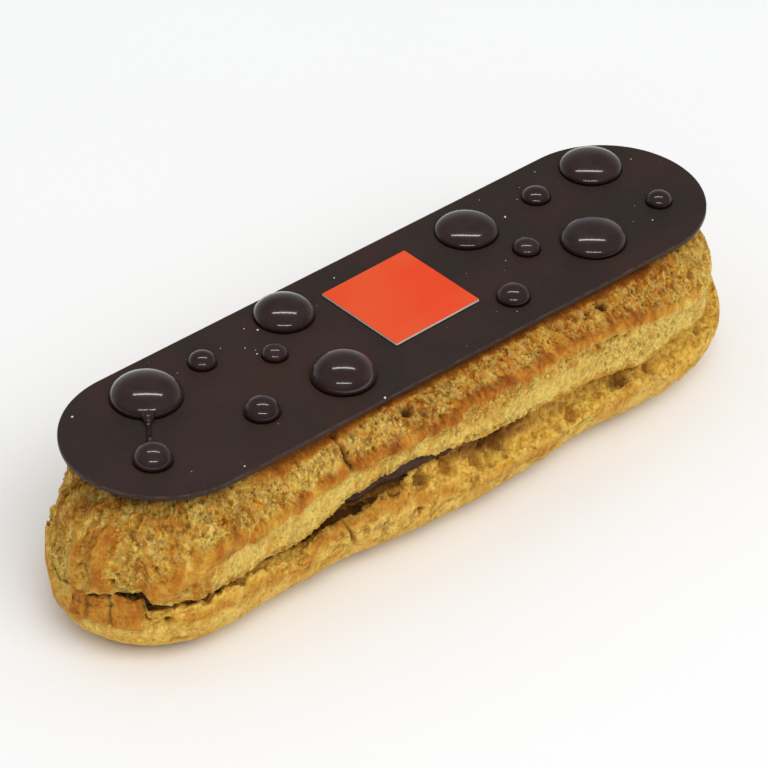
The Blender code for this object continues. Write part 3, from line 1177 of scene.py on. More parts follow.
@dataclass
class UpperHalf(Half):
    """Upper half of the shell: a curled lip, baked folds, rough crust and a hidden crown."""

    name = "choux_crust_shell"
    seed = Draw.CRUST_WARP
    warp_size = 2.4
    warp_reach = 0.55
    crown: float = 31.7
    lip_round: float = 0.9
    waist_rise: float = 4.2
    crown_power: float = 3.3
    left_crown_power: float = 1.85
    fold_height: float = 0.25
    folds: float = 1.85
    shown_turn: float = 1.12
    outer_share: tuple[float, ...] = (0.0, 0.3, 0.7, 1.0, 1.0, 0.0)
    under_share: tuple[float, ...] = (1.0, 1.0, 0.25, 0.0, 0.0, 0.0)
    heights: ClassVar[Weights] = (
        (0.36, "lumps"), (1.0, "lift"), (0.80, "scale tone"), (-0.40, "seam"), (-0.35, "left"),
        (1.0, "fitting"), (0.42, "rough bark"), (0.20, "rough grit"), (-0.34, "rough fissure"),
        (-0.55, "rough pore"), (-0.22, "rough pinhole"), (0.05, "grit"), (0.10, "pale wrinkle"),
    )
    browning: ClassVar[Weights] = (
        (0.34, "all"), (0.40, "gilt"), (0.50, "crest"), (0.02, "left"), (-0.24, "lip"),
        (0.42, "right lip"), (-0.26, "pale"), (-0.10, "right pale"), (0.08, "shoulder"),
        (0.10, "right shoulder"), (-0.12, "right_end"), (0.45, "rough bark"),
        (0.08, "rough lumps"), (0.40, "rough tone scale"), (0.10, "grit"), (-0.30, "seam"),
    )
    # Dark pores and pinholes, and fissures that darken only where the grit sinks low: painted shade
    # in the low parts.
    darkness: ClassVar[Weights] = (
        (0.60, "rough pore"), (0.50, "rough fissure dry"), (0.30, "rough pinhole"),
    )
    gilt_drop: float = 0.5
    coarse_from: float = 0.25
    ridges: tuple[Ridge, ...] = (
        Ridge(((-66.6, -17.9, 17.4), (-60.6, -20.5, 20.8), (-51.8, -21.8, 23.3)), 2.2, 0.90),
        Ridge(((-48.6, -21.5, 21.8), (-38.1, -21.2, 23.2), (-27.6, -21.3, 25.1)), 1.45, 0.70),
        Ridge(((-25.5, -21.4, 25.2), (-15.6, -22.6, 26.4), (-4.4, -23.3, 26.3)), 1.25, 0.70),
        Ridge(((-2.2, -22.3, 27.3), (6.6, -22.4, 27.2), (15.9, -22.7, 26.5)), 1.3, 0.60),
        Ridge(((12.1, -22.7, 26.4), (20.0, -22.1, 26.9), (29.1, -21.7, 26.6)), 1.3, 0.60),
        Ridge(((30.9, -21.9, 26.3), (40.7, -22.2, 25.2), (50.1, -22.7, 23.6)), 1.25, 0.70),
        Ridge(((53.0, -22.0, 23.2), (64.0, -16.5, 22.4), (70.5, -6.0, 22.2)), 1.6, 0.55),
        Ridge(((70.8, 4.0, 23.0), (66.0, 14.0, 24.0), (55.0, 21.0, 25.0)), 1.7, 0.60),
        Ridge(((50.0, 22.5, 24.0), (36.0, 23.4, 25.0), (22.0, 23.8, 26.0)), 1.9, 0.65),
        Ridge(((20.0, 23.4, 25.0), (4.0, 23.0, 24.6), (-8.0, 23.2, 25.6)), 1.8, 0.65),
        Ridge(((-10.0, 23.4, 26.2), (-26.0, 23.6, 25.4), (-38.0, 22.8, 24.0)), 1.9, 0.65),
        Ridge(((-40.0, 22.4, 25.0), (-52.0, 21.4, 24.0), (-62.0, 17.0, 22.0)), 1.8, 0.60),
        Ridge(((-69.5, -8.0, 26.0), (-72.6, -9.5, 22.0), (-73.4, -10.5, 17.0)), 1.9, 0.55),
        Ridge(((-71.5, -2.0, 25.0), (-74.0, -3.5, 20.5), (-74.6, -4.5, 15.5)), 1.6, 0.45),
    )
    fitting: tuple[Spot, ...] = (
        Spot(-70.0, 8.0, 7.0, -1.6), Spot(69.0, -8.0, 7.0, -0.8), Spot(70.0, 8.0, 8.0, -0.4),
        Spot(-66.0, 13.0, 5.0, -1.9), Spot(-62.0, 18.0, 5.0, -1.3),
    )
    marks = Marks(
        cracks=(
            Line(((-26.8, -15.9, 30.1), (-26.5, -19.4, 27.9), (-26.6, -21.4, 24.7)), 0.50, -1.4),
            Line(((-71.1, -5.8, 24.4), (-71.2, -7.2, 23.6), (-71.1, -8.6, 23.9)), 0.32, -0.9),
            Line(((-69.6, -13.2, 22.0), (-70.2, -13.0, 19.6), (-70.4, -13.2, 17.4)), 0.26, -0.7),
            Line(((-47.7, -17.0, 29.2), (-52.0, -20.9, 25.2), (-54.3, -21.6, 20.3)), 0.50, -0.5),
            Line(((-66.0, 10.0, 27.0), (-70.0, 12.0, 23.0), (-71.0, 12.0, 18.0)), 0.40, -0.6),
            Line(((12.0, 19.0, 29.6), (10.0, 22.5, 26.0), (10.6, 23.6, 21.0)), 0.40, -0.7),
            Line(((58.0, 17.5, 28.0), (61.0, 20.0, 24.0), (61.0, 20.6, 20.0)), 0.40, -0.6),
        ),
        hollows=(
            Hollow((-12.4, -19.4, 29.5), 1.8, 2.2, 1.0),
            Hollow((-9.8, -21.0, 28.6), 1.1, 0.8, 0.8),
            Hollow((-66.4, -17.6, 22.2), 0.8, 0.9, 0.8),
            Hollow((-65.7, -18.2, 19.9), 0.7, 0.7, 0.8),
            Hollow((-58.8, -16.4, 27.4), 0.9, 0.9, 0.8),
            Hollow((-55.9, -16.6, 28.3), 0.6, 0.7, 0.9),
            Hollow((34.8, -18.6, 29.1), 1.3, 1.8, 1.2),
            Hollow((31.0, -18.6, 29.3), 0.8, 1.0, 1.0),
            Hollow((-72.9, -1.1, 22.0), 1.0, 1.6, 1.2),
            Hollow((-3.9, -23.4, 22.6), 0.8, 0.6, 0.7),
            Hollow((40.0, 20.5, 28.6), 1.3, 1.2, 0.9),
            Hollow((-20.0, 21.0, 28.6), 1.0, 1.0, 0.9),
            Hollow((71.6, 3.0, 25.0), 1.0, 1.0, 0.9),
        ),
        crack_bend=0.30,
        hollow_bend=0.25,
    )

    def skin(self) -> Skin:
        """Lay out the rings from the underside's middle to the crown's middle."""
        o = self.outline
        radius = o.top_radius()
        lip = o.lip(radius) + o.tear()
        waist = o.lip(radius) + self.waist_rise
        power = self.crown_power + (self.left_crown_power - self.crown_power) * o.left_end()
        bed = o.shelf_offset()

        def underside(part: float) -> Rings:
            """From near the middle line to the torn edge's foot."""
            offset = bed * (self.inner_start + (1.0 - self.inner_start) * part)
            return offset, o.ceiling(offset)

        def undercut(part: float) -> Rings:
            """Up to the lip, steep at first."""
            offset = bed + (radius - self.lip_round - bed) * part
            return offset, o.ceiling(bed) + (lip - o.ceiling(bed)) * part ** 0.7

        def lip_arc(part: float) -> Rings:
            """Round the lip."""
            turn = QUARTER_TURN * part
            offset = radius - self.lip_round + 0.6 * self.lip_round * math.sin(turn)
            return offset, lip + self.lip_round * (1.0 - math.cos(turn))

        def swelling_at(height: Array) -> Array:
            """The folds' waves at a height."""
            up = (height - lip) / (self.crown - lip)
            return self.fold_height * np.cos(2.0 * math.pi * self.folds * up)

        def wall(part: float) -> Rings:
            """From the lip to the waist."""
            start = lip + self.lip_round
            height = start + (waist - start) * part
            offset = radius - 0.4 * self.lip_round * (1.0 - part)
            return offset + swelling_at(height) * min(1.0, part + 0.2), height

        def dome(turn: float) -> Rings:
            """From the waist over to the crown, by the angle turned."""
            out = max(math.cos(turn), 0.0) ** (2.0 / power)
            height = waist + (self.crown - waist) * math.sin(turn) ** (2.0 / power)
            return radius * out + swelling_at(height) * out, height

        def shown(part: float) -> Rings:
            """The dome's part that shows, with its rings closer near the waist."""
            return dome(self.shown_turn * part ** 1.6)

        def hidden(part: float) -> Rings:
            """The dome's part under the plate."""
            return dome(self.shown_turn + (QUARTER_TURN - self.shown_turn) * part)

        bands = [
            Band(4, underside), Band(4, undercut), Band(5, lip_arc), Band(13, wall),
            Band(52, shown, 160), Band(6, hidden),
        ]
        middle = np.zeros_like(radius)
        return Skin(o, bands, o.ceiling(middle), np.full_like(radius, self.crown))

    def learn(self, skin: Skin, bent: Array, warp: Array) -> Known:
        """Find the crust's zones and draw its textures."""
        p = skin.flat()
        x, y, z = p.T
        left = skin.per_station(self.outline.left_end())
        right = ease(x, 10.0, 28.0)
        above_lip = z - skin.per_station(self.outline.lip(self.outline.top_radius()))
        lip = hump(above_lip, 0.0, 1.1)
        shapes = [line.strength(bent) for line in self.ridges]
        lower = bent - np.array([0.0, 0.0, self.gilt_drop])
        gilt = np.max([line.strength(lower) for line in self.ridges], axis=0)
        gilt *= 0.70 + 0.60 * ease(layered(p, 6.5, Draw.GILT, 2), -0.45, 0.45)
        gilt *= (1.0 - 0.45 * ease(x, 38.0, 54.0)) * (1.0 - 0.45 * left)
        pale = ease(above_lip, 0.5, 2.0) * (1.0 - ease(z, 22.0, 25.5)) * (1.0 - left)
        past = self.outline.past_plate(bent)
        crest = (1.0 - ease(past, -0.6, 0.2)) * ease(z, 24.0, 28.0)
        crest *= within(x, (-50.0, -36.0), (44.0, 56.0))
        folded = 0.85 * np.maximum(np.max(shapes, axis=0), crest)
        rough = 1.0 - folded - (0.70 - 0.35 * ease(x, 20.0, 36.0)) * pale
        rough = share(rough * (1.0 - 0.8 * right * lip))
        lay = skin.laid(sum(band.rings for band in skin.bands[:3]))
        tall = upright(lay, 0.45)
        grit = layered(tall, 1.6, Draw.CRUST_GRIT, 3)
        fissure, owner = borders(upright(bent, 0.55), 1.5, Draw.FISSURE, (0.03, 0.22))
        scale = rough * (0.30 + 0.70 * left)
        seam, tone = borders(upright(p, 0.7) + 1.4 * warp, 3.7, Draw.SCALE, (0.02, 0.16))
        return {
            "free": skin.ring_value(self.outer_share),
            "lay": lay, "left": left, "right": right, "lip": lip, "gilt": gilt, "pale": pale,
            "past": past, "crest": crest, "rough": rough, "grit": grit, "scale": scale,
            "lift": np.max([r.height * shape for r, shape in zip(self.ridges, shapes)], axis=0),
            "shoulder": within(x, (-30.0, -18.0), (50.0, 60.0)) * ease(z, 25.5, 28.5),
            "right_end": ease(x, 44.0, 60.0),
            "fitting": swollen(self.fitting, x, y) * ease(z, 14.0, 19.0),
            "wrinkle": swell(upright(p, 0.22), 0.85, Draw.WRINKLE),
            "bark": creased(tall + 0.6 * warp, 1.9, Draw.BARK, 4) - 0.45,
            "lumps": layered(p, 8.0, Draw.CRUST_LUMPS, 2),
            "fissure": fissure * ease(owner, 0.25, 0.5),
            # Where the grit sinks low, for painted shade in the fissures.
            "dry": ease(-grit, -0.1, 0.4),
            "pore": pits(upright(bent, 0.7), 1.15, Draw.CRUST_PORE, (0.18, 0.46), (0.42, 0.58)),
            "pinhole": pits(bent, 0.72, Draw.PINHOLE, (0.12, 0.45), (0.5, 0.6)),
            "tone": tone - 0.5,
            "seam": scale * seam,
        }

    def values(self, skin: Skin, known: Known) -> Known:
        """What the finish reads at every point."""
        rough, past = known["rough"], known["past"]
        # Painted shade: a band just under the plate's edge, the cracks and the burst bubbles are
        # darkened.
        plate_shadow = 0.50 * known["crest"] * (1.0 - ease(past, -1.4, -0.6))
        dark = blend(known, self.darkness)
        dark = np.max([dark, known["cut"], known["burst"], plate_shadow], axis=0)
        coarse = np.maximum(rough - self.coarse_from, 0.0) / (1.0 - self.coarse_from)
        open_crust = ease(past, -1.0, 0.5) * ease(1.0 - dark, 0.5, 0.8)
        return {
            "bake": share(blend(known, self.browning)),
            "crumb": share(skin.ring_value(self.under_share)),
            "pit": share(dark * known["free"]),
            "coarse": coarse * (1.0 - 0.45 * known["left"]),
            "strew": rough ** 2 * known["free"] * open_crust,
            "lay": known["lay"],
        }


@dataclass
class LowerHalf(Half):
    """Lower half of the shell: smooth wall, torn rim, and a crumb wall full of burst bubbles."""

    name = "choux_crumb_shell"
    seed = Draw.CRUMB_WARP
    warp_size = 2.2
    corner: float = 10.0
    lean: float = 0.6
    rim_round: float = 0.4
    wall_share: tuple[float, ...] = (0.0, 1.0, 1.0, 0.6, 0.0, 0.0)
    torn_share: tuple[float, ...] = (0.0, 0.0, 0.0, 0.35, 1.0, 0.4)
    brim_share: tuple[float, ...] = (0.0, 1.0, 1.0, 1.0, 1.0, 0.0)
    heights: ClassVar[Weights] = (
        (0.30, "wall lumps"), (0.04, "wall grit"), (-0.24, "wall pore"), (-0.14, "wall hairline"),
        (0.35, "wall brow"), (-0.30, "wall"), (1.0, "wall fitting"), (0.35, "torn grit"),
        (0.50, "torn crumble"), (-1.0, "torn bubble"), (0.55, "crisp frill"), (0.75, "flap"),
        (-0.95, "groove"), (-0.30, "under"), (0.35, "worn grit"), (0.60, "worn crumble"),
        (-0.36, "worn"), (-1.9, "trench"),
    )
    # The brown row is painted shade: the deep part of the gap, the trench and the burst bubbles are
    # browned.
    browning: ClassVar[Weights] = (
        (0.16, "all"), (0.28, "band bare"), (0.10, "lumps"), (0.54, "flap"), (0.72, "brown"),
        (0.12, "closed"), (0.08, "grit"), (-0.30, "groove"), (-1.60, "flap bare"),
    )
    # The wall pore and hairline rows are the wall's own marks; the last two rows are painted shade
    # in the bubbles and where the crumb sinks low.
    darkness: ClassVar[Weights] = (
        (0.40, "wall pore"), (0.60, "wall hairline"), (0.30, "torn bubble"), (0.40, "torn sunk"),
    )
    shadows: ClassVar[Weights] = (
        (0.95, "cut"), (0.55, "under rising"), (0.60, "groove groove"), (0.55, "worn falling"),
    )
    # Darkness for the finish; the brown, deep, mouth deep and trench rows are painted shade in the
    # gap between the halves.
    depth: ClassVar[Weights] = (
        (1.0, "dark"), (0.32, "brown"), (0.45, "deep"), (0.35, "mouth deep"), (0.35, "trench"),
    )
    # Less crumb colour where painted shade browns the torn crumb.
    crumb: ClassVar[Weights] = (
        (1.0, "torn bare"), (-0.9, "torn brown bare"), (0.4, "crisp bare"), (0.5, "worn"),
    )
    coarse: ClassVar[Weights] = ((0.30, "torn"), (0.12, "bare"), (0.45, "worn"))
    jag_height: float = 0.60
    mouth_jag: float = 0.10
    # How strongly painted shade browns the trench and the deep part of the gap.
    gap_shade_brown: float = 0.85
    # A groove at the mouth of the gap; besides its real depth, its inside gets painted shade.
    trench: Line = Line(
        ((-33.5, -19.2, 13.2), (-26.0, -20.0, 15.2), (-16.0, -20.6, 16.8)), 1.7, 1.0
    )
    fitting: tuple[Spot, ...] = (
        Spot(-72.0, -12.0, 8.0, -0.8), Spot(25.0, -23.0, 5.0, -0.9), Spot(58.0, -20.0, 8.0, -0.6),
        Spot(-59.0, -21.0, 6.0, -0.5), Spot(28.0, -23.0, 4.0, -0.5),
    )
    flap_turns: tuple[float, ...] = (189.9, 198.1, 208.2, 221.6)
    flap_floor: float = 9.4
    worn_patch: Hollow = Hollow((-65.8, -18.0, 11.4), 3.6, 0.4, 1.0)
    marks = Marks(
        cracks=(
            Line(((-27.6, -20.4, 14.0), (-26.6, -21.4, 11.0), (-25.6, -22.0, 7.0)), 0.40, -1.1),
            Line(((-13.4, -23.0, 9.9), (-12.4, -23.2, 9.7), (-11.6, -23.2, 9.5)), 0.40, -0.8),
            Line(((-12.4, -23.2, 9.7), (-12.3, -23.1, 9.0), (-12.5, -23.0, 8.2)), 0.30, -0.6),
            Line(((-24.0, -22.0, 10.4), (-21.0, -22.4, 10.1), (-19.0, -22.6, 9.4)), 0.22, -0.40),
            Line(((-8.0, -23.4, 8.0), (-5.6, -23.6, 8.2), (-4.0, -23.6, 7.6)), 0.21, -0.40),
            Line(((2.0, -23.4, 7.6), (5.0, -23.4, 8.0), (8.6, -23.2, 7.4)), 0.20, -0.40),
            Line(((11.0, -23.2, 7.0), (13.4, -23.2, 7.4), (16.0, -23.2, 7.0)), 0.22, -0.45),
            Line(((-70.0, -16.0, 5.2), (-66.0, -18.4, 5.0), (-62.0, -19.6, 5.6)), 0.34, -0.7),
            Line(((-61.0, -20.6, 9.0), (-54.0, -21.2, 9.2), (-47.0, -21.2, 9.0)), 0.18, -0.40),
            Line(((44.0, -22.0, 7.0), (48.0, -22.2, 7.3), (52.0, -21.8, 7.0)), 0.18, -0.40),
            Line(((-40.0, 21.6, 8.0), (-30.0, 22.6, 8.6), (-22.0, 23.0, 8.0)), 0.20, -0.45),
            Line(((20.0, 23.6, 9.0), (21.0, 23.8, 6.0), (20.6, 22.6, 3.0)), 0.25, -0.6),
        ),
        hollows=(
            Hollow((-4.6, -21.1, 14.4), 2.0, 1.7, 0.8),
            Hollow((1.9, -21.6, 12.2), 1.9, 1.7, 0.8),
            Hollow((7.5, -20.3, 13.5), 2.6, 2.4, 1.0),
            Hollow((-11.0, -22.0, 14.9), 2.1, 1.8, 0.8),
            Hollow((-17.2, -21.9, 16.4), 2.0, 1.6, 0.8),
            Hollow((-37.3, -19.6, 13.6), 2.3, 1.8, 0.6),
            Hollow((37.9, -20.2, 11.6), 2.7, 2.1, 0.9),
            Hollow((45.1, -20.3, 10.3), 2.0, 1.6, 0.8),
            Hollow((62.0, -19.3, 10.9), 1.8, 1.5, 0.8),
            Hollow((72.2, -4.0, 13.2), 1.4, 1.2, 0.9),
            Hollow((26.0, -20.8, 10.5), 1.9, 1.6, 0.8),
            Hollow((22.4, -21.9, 9.5), 1.5, 1.2, 0.8),
            Hollow((-67.9, -16.9, 12.0), 1.2, 1.2, 0.9),
            Hollow((-65.1, -19.0, 11.4), 1.1, 0.9, 0.7),
            Hollow((-62.5, -19.6, 12.2), 0.9, 0.7, 0.7),
            Hollow((-57.7, -20.0, 12.9), 1.4, 1.1, 0.8),
            Hollow((-50.9, -19.8, 12.6), 1.6, 1.1, 0.6),
            Hollow((-45.1, -19.6, 12.2), 1.5, 1.0, 0.5),
        ),
        crack_bend=0.35,
        hollow_bend=0.35,
    )

    def edge_jag(self) -> Array:
        """How far the torn rim strays up or down along its run."""
        o = self.outline
        mouth = hump(o.at(o.body_radius)[0], -14.0, 16.0)
        own = self.jag_height + self.mouth_jag * mouth
        own = own * layered(o.edge_points(o.radius()), 3.0, Draw.RIM, 4)
        left = o.left_end()
        return o.open_side() * ((1.0 - left) * own + left * (o.tear() + 0.3 * own - 0.4))

    def skin(self) -> Skin:
        """Lay out the rings from the underside's middle to the bed's middle."""
        o = self.outline
        radius = o.radius()
        rim = o.rim(radius) + self.edge_jag()
        bed = o.shelf_offset()
        rise = np.minimum(self.corner, rim - 1.2)

        def flat(part: float) -> Rings:
            """The flat underside."""
            reach = self.inner_start + (1.0 - self.inner_start) * part
            return (radius - self.corner) * reach, np.zeros_like(radius)

        def corner(part: float) -> Rings:
            """The round corner from the underside to the wall."""
            turn = QUARTER_TURN * part
            offset = radius - self.corner * (1.0 - math.sin(turn))
            return offset, rise * (1.0 - math.cos(turn))

        def wall(part: float) -> Rings:
            """The wall up to the rim, leaning in."""
            height = rise + (rim - self.rim_round - rise) * part
            return radius - self.lean * part ** 2, height

        def edge(part: float) -> Rings:
            """Round the rim."""
            turn = QUARTER_TURN * part
            return (radius - self.lean - self.lean * (1.0 - math.cos(turn)),
                    rim - self.rim_round + self.rim_round * math.sin(turn))

        def torn(part: float) -> Rings:
            """The torn crumb from the rim to the bed."""
            start = radius - 2.0 * self.lean
            offset = start + (bed - start) * part
            low = o.rim(offset) + self.edge_jag() * (1.0 - part)
            high = np.maximum(low, o.shelf(bed))
            climb = part ** 1.2 * 0.55 + 0.45 * part ** 4
            return offset, low + (high - low) * climb

        def bed_band(part: float) -> Rings:
            """The filling's bed."""
            offset = bed * (1.0 - part)
            return offset, o.shelf(offset)

        bands = [
            Band(5, flat), Band(36, corner), Band(11, wall), Band(4, edge), Band(24, torn),
            Band(4, bed_band),
        ]
        middle = np.zeros_like(radius)
        return Skin(o, bands, middle, o.shelf(middle))

    def flaps(self, p: Array, warp: Array) -> tuple[Array, ...]:
        """Smooth browned flaps at the left end.

        Args:
            p: Points on the skin.
            warp: Random vectors that make the edges uneven.

        Returns:
            Where a flap is, from 0 to 1, where a groove is, and where the dough below one is.
        """
        o = self.outline
        hub_x, hub_y = -o.half_straight - o.shift[0], -o.shift[1]
        q = p + 0.25 * warp
        turn = np.degrees(np.arctan2(q[:, 1] - hub_y, q[:, 0] - hub_x)) % 360.0
        reach = np.hypot(p[:, 0] - hub_x, p[:, 1] - hub_y)
        away = np.abs(turn[:, None] - np.array(self.flap_turns))
        away = np.radians(np.min(away, axis=1)) * reach
        first, last = self.flap_turns[0], self.flap_turns[-1]
        inside = within(turn, (first - 0.5, first + 0.5), (last - 0.5, last + 0.5))
        under = inside * hump(q[:, 2], self.flap_floor - 0.6, 0.4)
        inside *= ease(q[:, 2], self.flap_floor - 0.2, self.flap_floor + 0.2)
        groove = inside * (1.0 - ease(away, 0.12, 0.50))
        return inside, groove, under

    def learn(self, skin: Skin, bent: Array, warp: Array) -> Known:
        """Find the dough's zones and draw its textures."""
        p = skin.flat()
        x, y, z = p.T
        below = skin.per_station(self.outline.rim(self.outline.radius())) - z
        inward = skin.inward()
        wall = skin.ring_value(self.wall_share)
        torn = skin.ring_value(self.torn_share)
        opened = skin.per_station(self.outline.open_side())
        left = skin.per_station(self.outline.left_end())
        # deep: how far into the gap between the halves a point lies, where painted shade browns and
        # darkens the crumb; it starts nearer the edge at the left end and at the mouth.
        mouth = hump(x, -27.0, 7.5)
        early = np.maximum(1.4 * left, 1.3 * mouth)
        deep = torn * opened * ease(inward, 2.6 - early, 3.8 - 1.45 * early)
        deep *= 1.0 - 0.7 * ease(x, 8.0, 22.0) - 0.3 * ease(x, 44.0, 56.0)
        brim = skin.ring_value(self.brim_share) * (1.0 - ease(inward, 1.7, 2.2))
        flap, groove, under = self.flaps(p, warp)
        band = 1.0 - 0.75 * within(x, (14.0, 34.0), (60.0, 70.0))
        first, _, owner = scattered(p + 1.1 * warp, 2.9, Draw.BUBBLE)
        bubble = (1.0 - ease(first, 0.10, 0.30 + 0.35 * owner)) * ease(owner, 0.45, 0.60)
        hairline, _ = borders(bent * np.array([0.5, 1.0, 1.3]), 2.1, Draw.HAIRLINE, (0.02, 0.12))
        hairline *= ease(layered(p, 5.0, Draw.HAIRLINE_PATCH, 2), 0.08, 0.35)
        grit = layered(p, 1.4, Draw.CRUMB_GRIT, 3)
        return {
            "free": ease(z, 0.0, 1.6),
            "wall": wall, "torn": torn, "opened": opened, "closed": 1.0 - opened,
            "mouth": mouth, "deep": deep, "under": under, "bubble": bubble, "grit": grit,
            "flap": flap * brim,
            "bare": 1.0 - flap * brim,
            "groove": groove * brim,
            "crisp": hump(inward, 1.3, 0.7) * opened,
            "trench": self.trench.strength(p + 0.4 * warp),
            "worn": self.worn_patch.nearness(bent) * wall,
            "brow": hump(below, 1.6, 1.3),
            "band": hump(below, 2.2, 1.7) * wall * band,
            "fitting": swollen(self.fitting, x, y),
            "lumps": layered(p, 9.0, Draw.CRUMB_LUMPS, 2),
            "pore": pits(bent, 1.15, Draw.CRUMB_PORE, (0.15, 0.40), (0.60, 0.75)),
            "crumble": creased(bent, 1.5, Draw.CRUMBLE, 3) - 0.45,
            "hairline": hairline * ease(x, -48.0, -36.0),
            "frill": np.clip(layered(p, 1.9, Draw.CRISP, 3) + 0.1, -0.2, 0.6),
            # Where the crumb sinks low, for painted shade.
            "sunk": ease(-grit, 0.15, 0.8),
            "falling": ease(-grit, 0.0, 0.5),
            "rising": ease(grit, -0.4, 0.1),
        }

    def values(self, skin: Skin, known: Known) -> Known:
        """What the finish reads at every point."""
        # Painted shade: the trench, the deep part of the gap and the burst bubbles are browned and
        # darkened.
        torn = [self.gap_shade_brown * known[name] for name in ("trench", "deep")]
        known["brown"] = np.max([known["burst"], *torn], axis=0)
        shadows = [blend(known, (row,)) for row in self.shadows]
        known["dark"] = np.max([blend(known, self.darkness), *shadows], axis=0)
        return {
            "bake": share(blend(known, self.browning)),
            "crumb": share(blend(known, self.crumb)),
            "pit": share(blend(known, self.depth)),
            "coarse": share(blend(known, self.coarse)),
            "strew": known["torn"] * known["opened"] * ease(np.abs(known["grit"]), 0.1, 0.5),
            "lay": skin.flat(),
        }


@dataclass
class Cream:
    """Chocolate cream between the halves, with an uneven squeezed edge."""

    outline: Outline
    gap: float = 0.3
    edge_round: float = 1.2
    squeeze: float = 0.70
    edge_jag: float = 0.5
    lip_gap: float = 1.6
    face_jag: float = 0.30

    def build(self, finish: CreamFinish) -> Piece:
        """Make the layer and dress it."""
        o = self.outline
        bed = o.shelf_offset()
        places = o.edge_points(bed)
        edge = bed + self.squeeze + self.edge_jag * layered(places, 5.0, Draw.CRISP, 3)
        edge = np.minimum(edge, o.top_radius() - self.lip_gap)
        inner = edge - self.edge_round

        def floor(part: float) -> Rings:
            """The layer's underside."""
            return inner * part, o.shelf(inner * part) + self.gap

        def side(part: float) -> Rings:
            """The round face that shows."""
            turn = math.pi * (part - 0.5)
            low = o.shelf(edge) + self.gap
            high = o.ceiling(edge) - self.gap
            middle = 0.5 * (low + high)
            height = middle + 0.5 * (high - low) * math.sin(turn)
            return inner + self.edge_round * math.cos(turn), height

        def roof(part: float) -> Rings:
            """The layer's top."""
            offset = inner * (1.0 - part)
            return offset, o.ceiling(offset) - self.gap

        middle = np.zeros_like(bed)
        skin = Skin(o, [Band(5, floor), Band(14, side), Band(5, roof)],
                    o.shelf(middle) + self.gap, o.ceiling(middle) - self.gap)
        waves = layered(skin.flat(), 3.0, Draw.CREAM_FACE, 3)
        skin.push(skin.ring_value((0.0, 1.0, 0.0)) * self.face_jag * waves)
        return linked("cream_layer", skin.mesh("cream_layer", {}), finish)


# ---------------------------------------------------------------- pieces made by node trees


class Setup:
    """A Geometry Nodes tree with named inputs, applied once to a carrier mesh."""

    def __init__(self, name: str) -> None:
        """Start an empty tree with a geometry going in and out."""
        self.tree = bpy.data.node_groups.new(name, "GeometryNodeTree")
        interface = self.tree.interface
        interface.new_socket("Geometry", in_out="INPUT", socket_type="NodeSocketGeometry")
        interface.new_socket("Geometry", in_out="OUTPUT", socket_type="NodeSocketGeometry")
        self.graph = Graph(self.tree)
        self.inputs = self.tree.nodes.new("NodeGroupInput")
        self.carried = Wire(self.graph, self.inputs.outputs[0])
        self.values: dict[str, object] = {}

    def size(self, name: str, value: float) -> Wire:
        """Add a named number to the tree's inputs and keep what it is set to."""
        socket = self.tree.interface.new_socket(name, in_out="INPUT",
                                                socket_type="NodeSocketFloat")
        self.values[socket.identifier] = value
        return Wire(self.graph, self.inputs.outputs[name])

    def stored(self, name: str) -> Wire:
        """A number stored on the carrier."""
        return self.graph.node("GeometryNodeInputNamedAttribute", {"data_type": "FLOAT"}, name)

    def chance(self, low: Point, high: Point, seed: int) -> Wire:
        """A random vector between two corners, one for each instance."""
        kind = {"data_type": "FLOAT_VECTOR"}
        return self.graph.node("FunctionNodeRandomValue", kind, low, high, Seed=seed)

    def placed(self, points: Wire, bit: Wire, **turned: Wire) -> Wire:
        """Put a bit on every point, turned and scaled."""
        return self.graph.node("GeometryNodeInstanceOnPoints", None, points, Instance=bit,
                               **turned)

    def finish(self, shape: Wire, finish: Finish) -> None:
        """End the tree with Realize Instances and Set Material."""
        real = self.graph.node("GeometryNodeRealizeInstances", None, shape)
        dressed = self.graph.node("GeometryNodeSetMaterial", None, real,
                                  Material=finish.material)
        output = self.tree.nodes.new("NodeGroupOutput")
        self.tree.links.new(dressed.socket, output.inputs[0])

    def applied(self, name: str, carrier: bpy.types.Mesh) -> Piece:
        """Run the tree on a carrier mesh and keep the result as a plain mesh."""
        holder = linked(f"{name}_carrier", carrier)
        modifier = holder.modifiers.new("nodes", "NODES")
        modifier.node_group = self.tree
        for identifier, value in self.values.items():
            modifier[identifier] = value
        graph = bpy.context.evaluated_depsgraph_get()
        made = bpy.data.meshes.new_from_object(holder.evaluated_get(graph))
        made.name = name
        bpy.data.objects.remove(holder, do_unlink=True)
        return linked(name, made)


